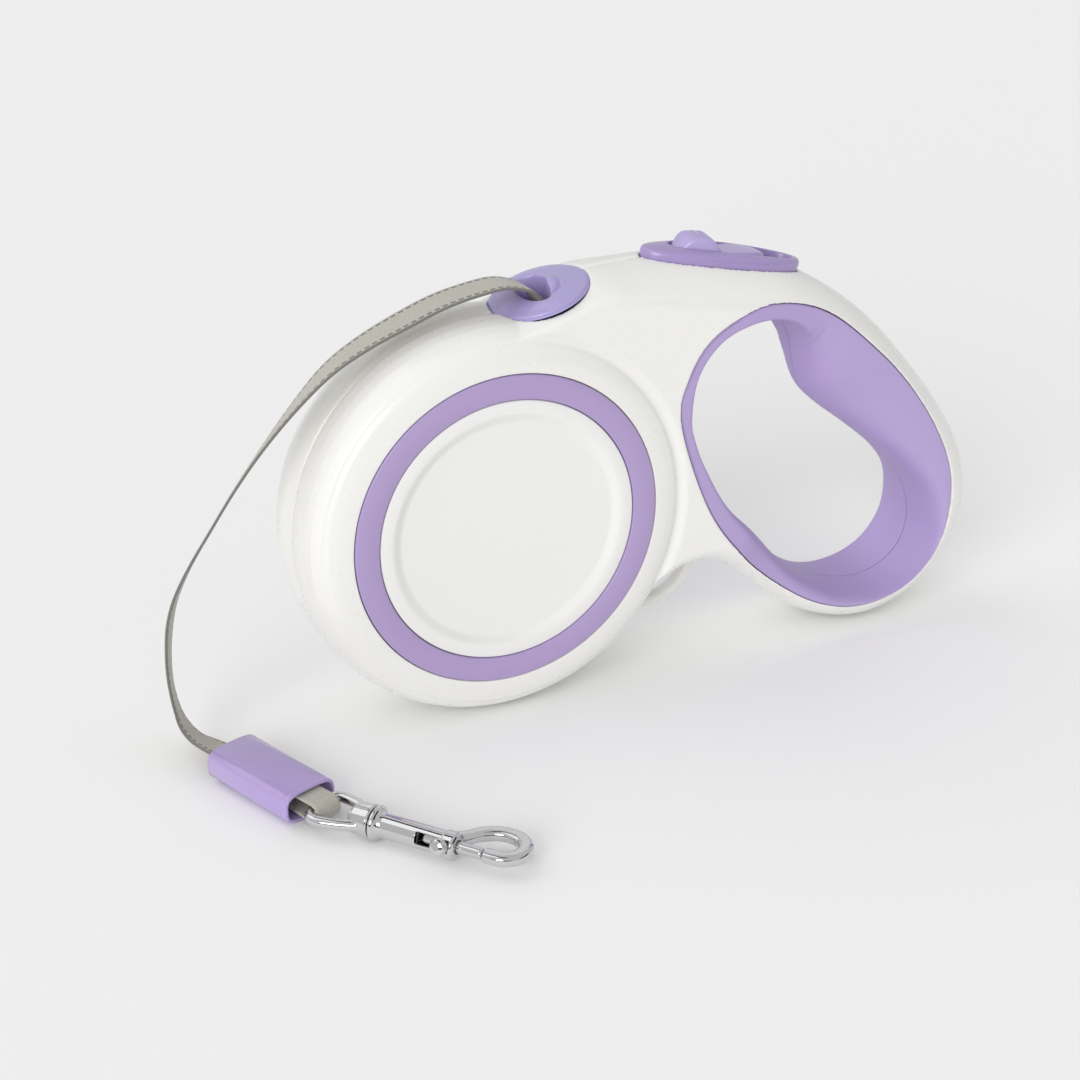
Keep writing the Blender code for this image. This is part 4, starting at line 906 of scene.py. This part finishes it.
def snap():
    """Swivel eye, barrel with its hook, and the sliding bolt with its knob."""
    fine = 0.13
    corners = ((17.6, 3.2), (13.6, 5.0), (9.5, 6.1), (6.2, 6.5), (4.1, 5.6), (3.1, 3.4), (3.0, 0.0))
    half = [snap_point(along, left, 0) for along, left in corners]
    other = [snap_point(along, -left, 0) for along, left in reversed(corners[:-1])]
    ring = smooth_open(half + other, 120)
    side, up = frames_along(ring, np.tile(SNAP_UP, (len(ring), 1)))
    bm = bmesh.new()
    sweep(bm, ring, side, up, oval(1.5, 1.5, 24))
    eye = make_object("eye", bm)
    bm = bmesh.new()
    add_snap_turned(bm, ((14.9, 3.0), (14.9, 4.2), (15.3, 4.5), (18.4, 4.7), (19.9, 4.8),
                         (20.3, 4.4), (20.3, 3.0)))
    boolean(eye, make_object("collar", bm), 'UNION')
    bm = bmesh.new()
    add_snap_turned(bm, ((12.0, 2.1), (24.0, 2.1)))
    boolean(eye, make_object("collar_bore", bm), 'DIFFERENCE')
    soften(eye, fine, 3)
    eye.data.shade_smooth()
    place(eye, "eye", "chrome", CHROME, "snap_eye")

    bm = bmesh.new()
    add_snap_turned(bm, ((13.4, 1.6), (13.4, 2.5), (13.8, 2.8), (14.5, 2.8), (14.5, 1.8),
                         (20.6, 1.8), (20.6, 4.4), (20.9, 4.8), (21.4, 4.9), (21.9, 4.7),
                         (22.2, 4.2), (22.8, 3.7), (23.6, 3.45), (41.6, 3.4), (41.8, 3.7),
                         (42.0, 3.8), (44.6, 3.8), (45.0, 3.6), (BARREL_END, 3.0)), 64)
    body = make_object("snap_hook", bm)
    arm = smooth_open([snap_point(along, left, 0) for along, left in (
        (40.5, 2.4), (44.5, 4.2), (48.0, 8.2), (52.5, 10.6), (57.6, 10.4), (61.0, 7.6),
        (61.2, 3.4), (58.6, 0.6), (56.0, 0.0), (53.2, 0.0))], 140)
    side, up = frames_along(arm, np.tile(SNAP_UP, (len(arm), 1)))
    bm = bmesh.new()
    sweep(bm, arm, side, up, oval(1.7, 2.1, 28, 2.6))
    boolean(body, make_object("arm", bm), 'UNION')
    bm = bmesh.new()
    add_snap_turned(bm, ((25.0, 1.9), (52.95, 1.9)))
    boolean(body, make_object("bore", bm), 'DIFFERENCE')
    low, high = KNOB_AT - BOLT_TRAVEL - 1.7, KNOB_AT + 1.7
    bm = bmesh.new()
    add_loft(bm, [[knob_point(along, out, aside) for along, aside in (
        (low, -SLOT_HALF), (high, -SLOT_HALF), (high, SLOT_HALF), (low, SLOT_HALF))]
        for out in (0.0, 8.0)])
    boolean(body, make_object("slot", bm), 'DIFFERENCE')
    soften(body, fine, 3)
    body.data.shade_smooth()
    place(body, "snap", "chrome", CHROME, "snap_body")

    bm = bmesh.new()
    add_snap_turned(bm, ((BOLT_REAR, BOLT_R), (BOLT_TIP - 0.6, BOLT_R),
                         (BOLT_TIP - 0.2, BOLT_R - 0.2), (BOLT_TIP, BOLT_R - 0.6)), 40)
    rod = make_object("bolt", bm)
    loops = []
    for out, radius in ((0.3, 1.2), (4.1, 1.2), (4.2, 1.9), (4.5, 2.2), (5.4, 2.35), (6.2, 2.2),
                        (6.7, 1.7), (6.9, 0.9)):
        loops.append([knob_point(KNOB_AT + radius * math.cos(2 * math.pi * i / 40), out,
                                 radius * math.sin(2 * math.pi * i / 40)) for i in range(40)])
    bm = bmesh.new()
    add_loft(bm, loops)
    boolean(rod, make_object("knob", bm), 'UNION')
    soften(rod, fine, 2)
    rod.data.shade_smooth()
    place(rod, "bolt", "chrome", CHROME, "snap_bolt")
    return eye, body, rod


# ---------------------------------------------------------------- carried-over CAD nodes
def coil(name, body):
    """Copy of a compression spring's CAD node, with its material and body; the CAD node is hidden."""
    cad = frame["nodes"][name]
    obj = bpy.data.objects.new(name + "_coil", cad.data.copy())
    obj.matrix_world = cad.matrix_world.copy()
    bpy.context.scene.collection.objects.link(obj)
    place(obj, body, "spring_steel", SPRING, name)
    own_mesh(obj)
    return obj


def dress_cad():
    """Materials for the inner CAD nodes that are shown as they are."""
    looks = {"reel_spool": INNER, "reel_right_flange": INNER, "spring_cover": INNER,
             "guide_roller": DARK, "brake_carrier": DARK, "brake_pawl": STEEL, "pawl_pin": STEEL,
             "guide_roller_pin": STEEL, "reel_axle": STEEL, "left_bush": BRASS,
             "right_bush": BRASS, "mainspring": SPRING, "wound_tape": WEBBING,
             "inner_tape": WEBBING}
    for number in range(1, len(SCREW_SPOTS) + 1):
        looks["housing_screw_%d" % number] = STEEL
    for node, mat in looks.items():
        cad = frame["nodes"][node]
        cad.data.materials.clear()
        cad.data.materials.append(mat)


# ---------------------------------------------------------------- studio
def sunlight(name, came_from, strength, spread):
    """Even light from one direction, softened by its spread in degrees."""
    light = bpy.data.lights.new(name, 'SUN')
    light.energy = strength
    light.angle = math.radians(spread)
    obj = bpy.data.objects.new(name, light)
    obj.rotation_euler = (-Vector(came_from)).to_track_quat('-Z', 'Y').to_euler()
    bpy.context.scene.collection.objects.link(obj)


def stage_sheet(name, half_x, half_y, mat):
    """Flat rectangle that belongs to the studio and not to the object."""
    bm = bmesh.new()
    for x, y in ((-1, -1), (1, -1), (1, 1), (-1, 1)):
        bm.verts.new((x * half_x, y * half_y, 0))
    bm.faces.new(bm.verts)
    mesh = bpy.data.meshes.new(name)
    bm.to_mesh(mesh)
    bm.free()
    mesh.materials.append(mat)
    sheet = bpy.data.objects.new(name, mesh)
    bpy.context.scene.collection.objects.link(sheet)
    return sheet


def studio():
    """Pale floor and surround, two soft suns, and dark cards that only the metal mirrors."""
    paper, tree, shader = new_material("floor_paper", (0.96, 0.96, 0.96), 0.75)
    add_bump(tree, shader, 40, 0.02, 0.002)
    stage_sheet("floor", FLOOR_HALF, FLOOR_HALF, paper)

    surround = bpy.data.worlds.new("surround")
    surround.use_nodes = True
    back = surround.node_tree.nodes["Background"]
    back.inputs["Color"].default_value = (1, 1, 1, 1)
    back.inputs["Strength"].default_value = SURROUND
    bpy.context.scene.world = surround
    bpy.context.scene.view_settings.view_transform = 'Standard'

    black = new_material("card_black", (0.015, 0.015, 0.017), 0.9)[0]
    target = Vector((-0.1, -0.07, 0.0))
    for name, spot, half_x, half_y in (("card_front", (-0.45, -0.55, 0.12), 0.4, 0.075),
                                       ("card_side", (0.32, -0.42, 0.16), 0.25, 0.09),
                                       ("card_high", (-0.15, 0.10, 0.75), 0.08, 0.35)):
        card = stage_sheet(name, half_x, half_y, black)
        card.location = spot
        card.rotation_euler = (target - Vector(spot)).to_track_quat('Z', 'Y').to_euler()
        card.visible_camera = False
        card.visible_diffuse = False
        card.visible_shadow = False

    sunlight("key", (-0.85, -0.75, 0.45), 1.45, 35)
    sunlight("back", (-0.55, 0.60, 1.0), 0.35, 50)


def camera():
    """Camera outside the left shell, above it and towards the drum's end."""
    lens = bpy.data.cameras.new("camera")
    lens.sensor_width = SENSOR
    lens.lens = LENS
    lens.clip_start, lens.clip_end = 0.01, 200.0
    obj = bpy.data.objects.new("camera", lens)
    obj.location = world(CAMERA_SPOT)
    obj.rotation_euler = Vector(CAMERA_AHEAD).to_track_quat('-Z', 'Y').to_euler()
    bpy.context.scene.collection.objects.link(obj)
    bpy.context.scene.camera = obj


studio()
camera()
ribbon, ribbon_path, ribbon_length = tape()
tube, end_loop = sleeve()
eye, hook, rod = snap()
bolt_coil = coil("bolt_spring", "snap")
coil("button_spring", "housing")
shell(-1, "left_shell")
shell(1, "right_shell")
for side, word in ((-1, "left"), (1, "right")):
    inlays(side, word)
nozzle()
brake_button()
dress_cad()
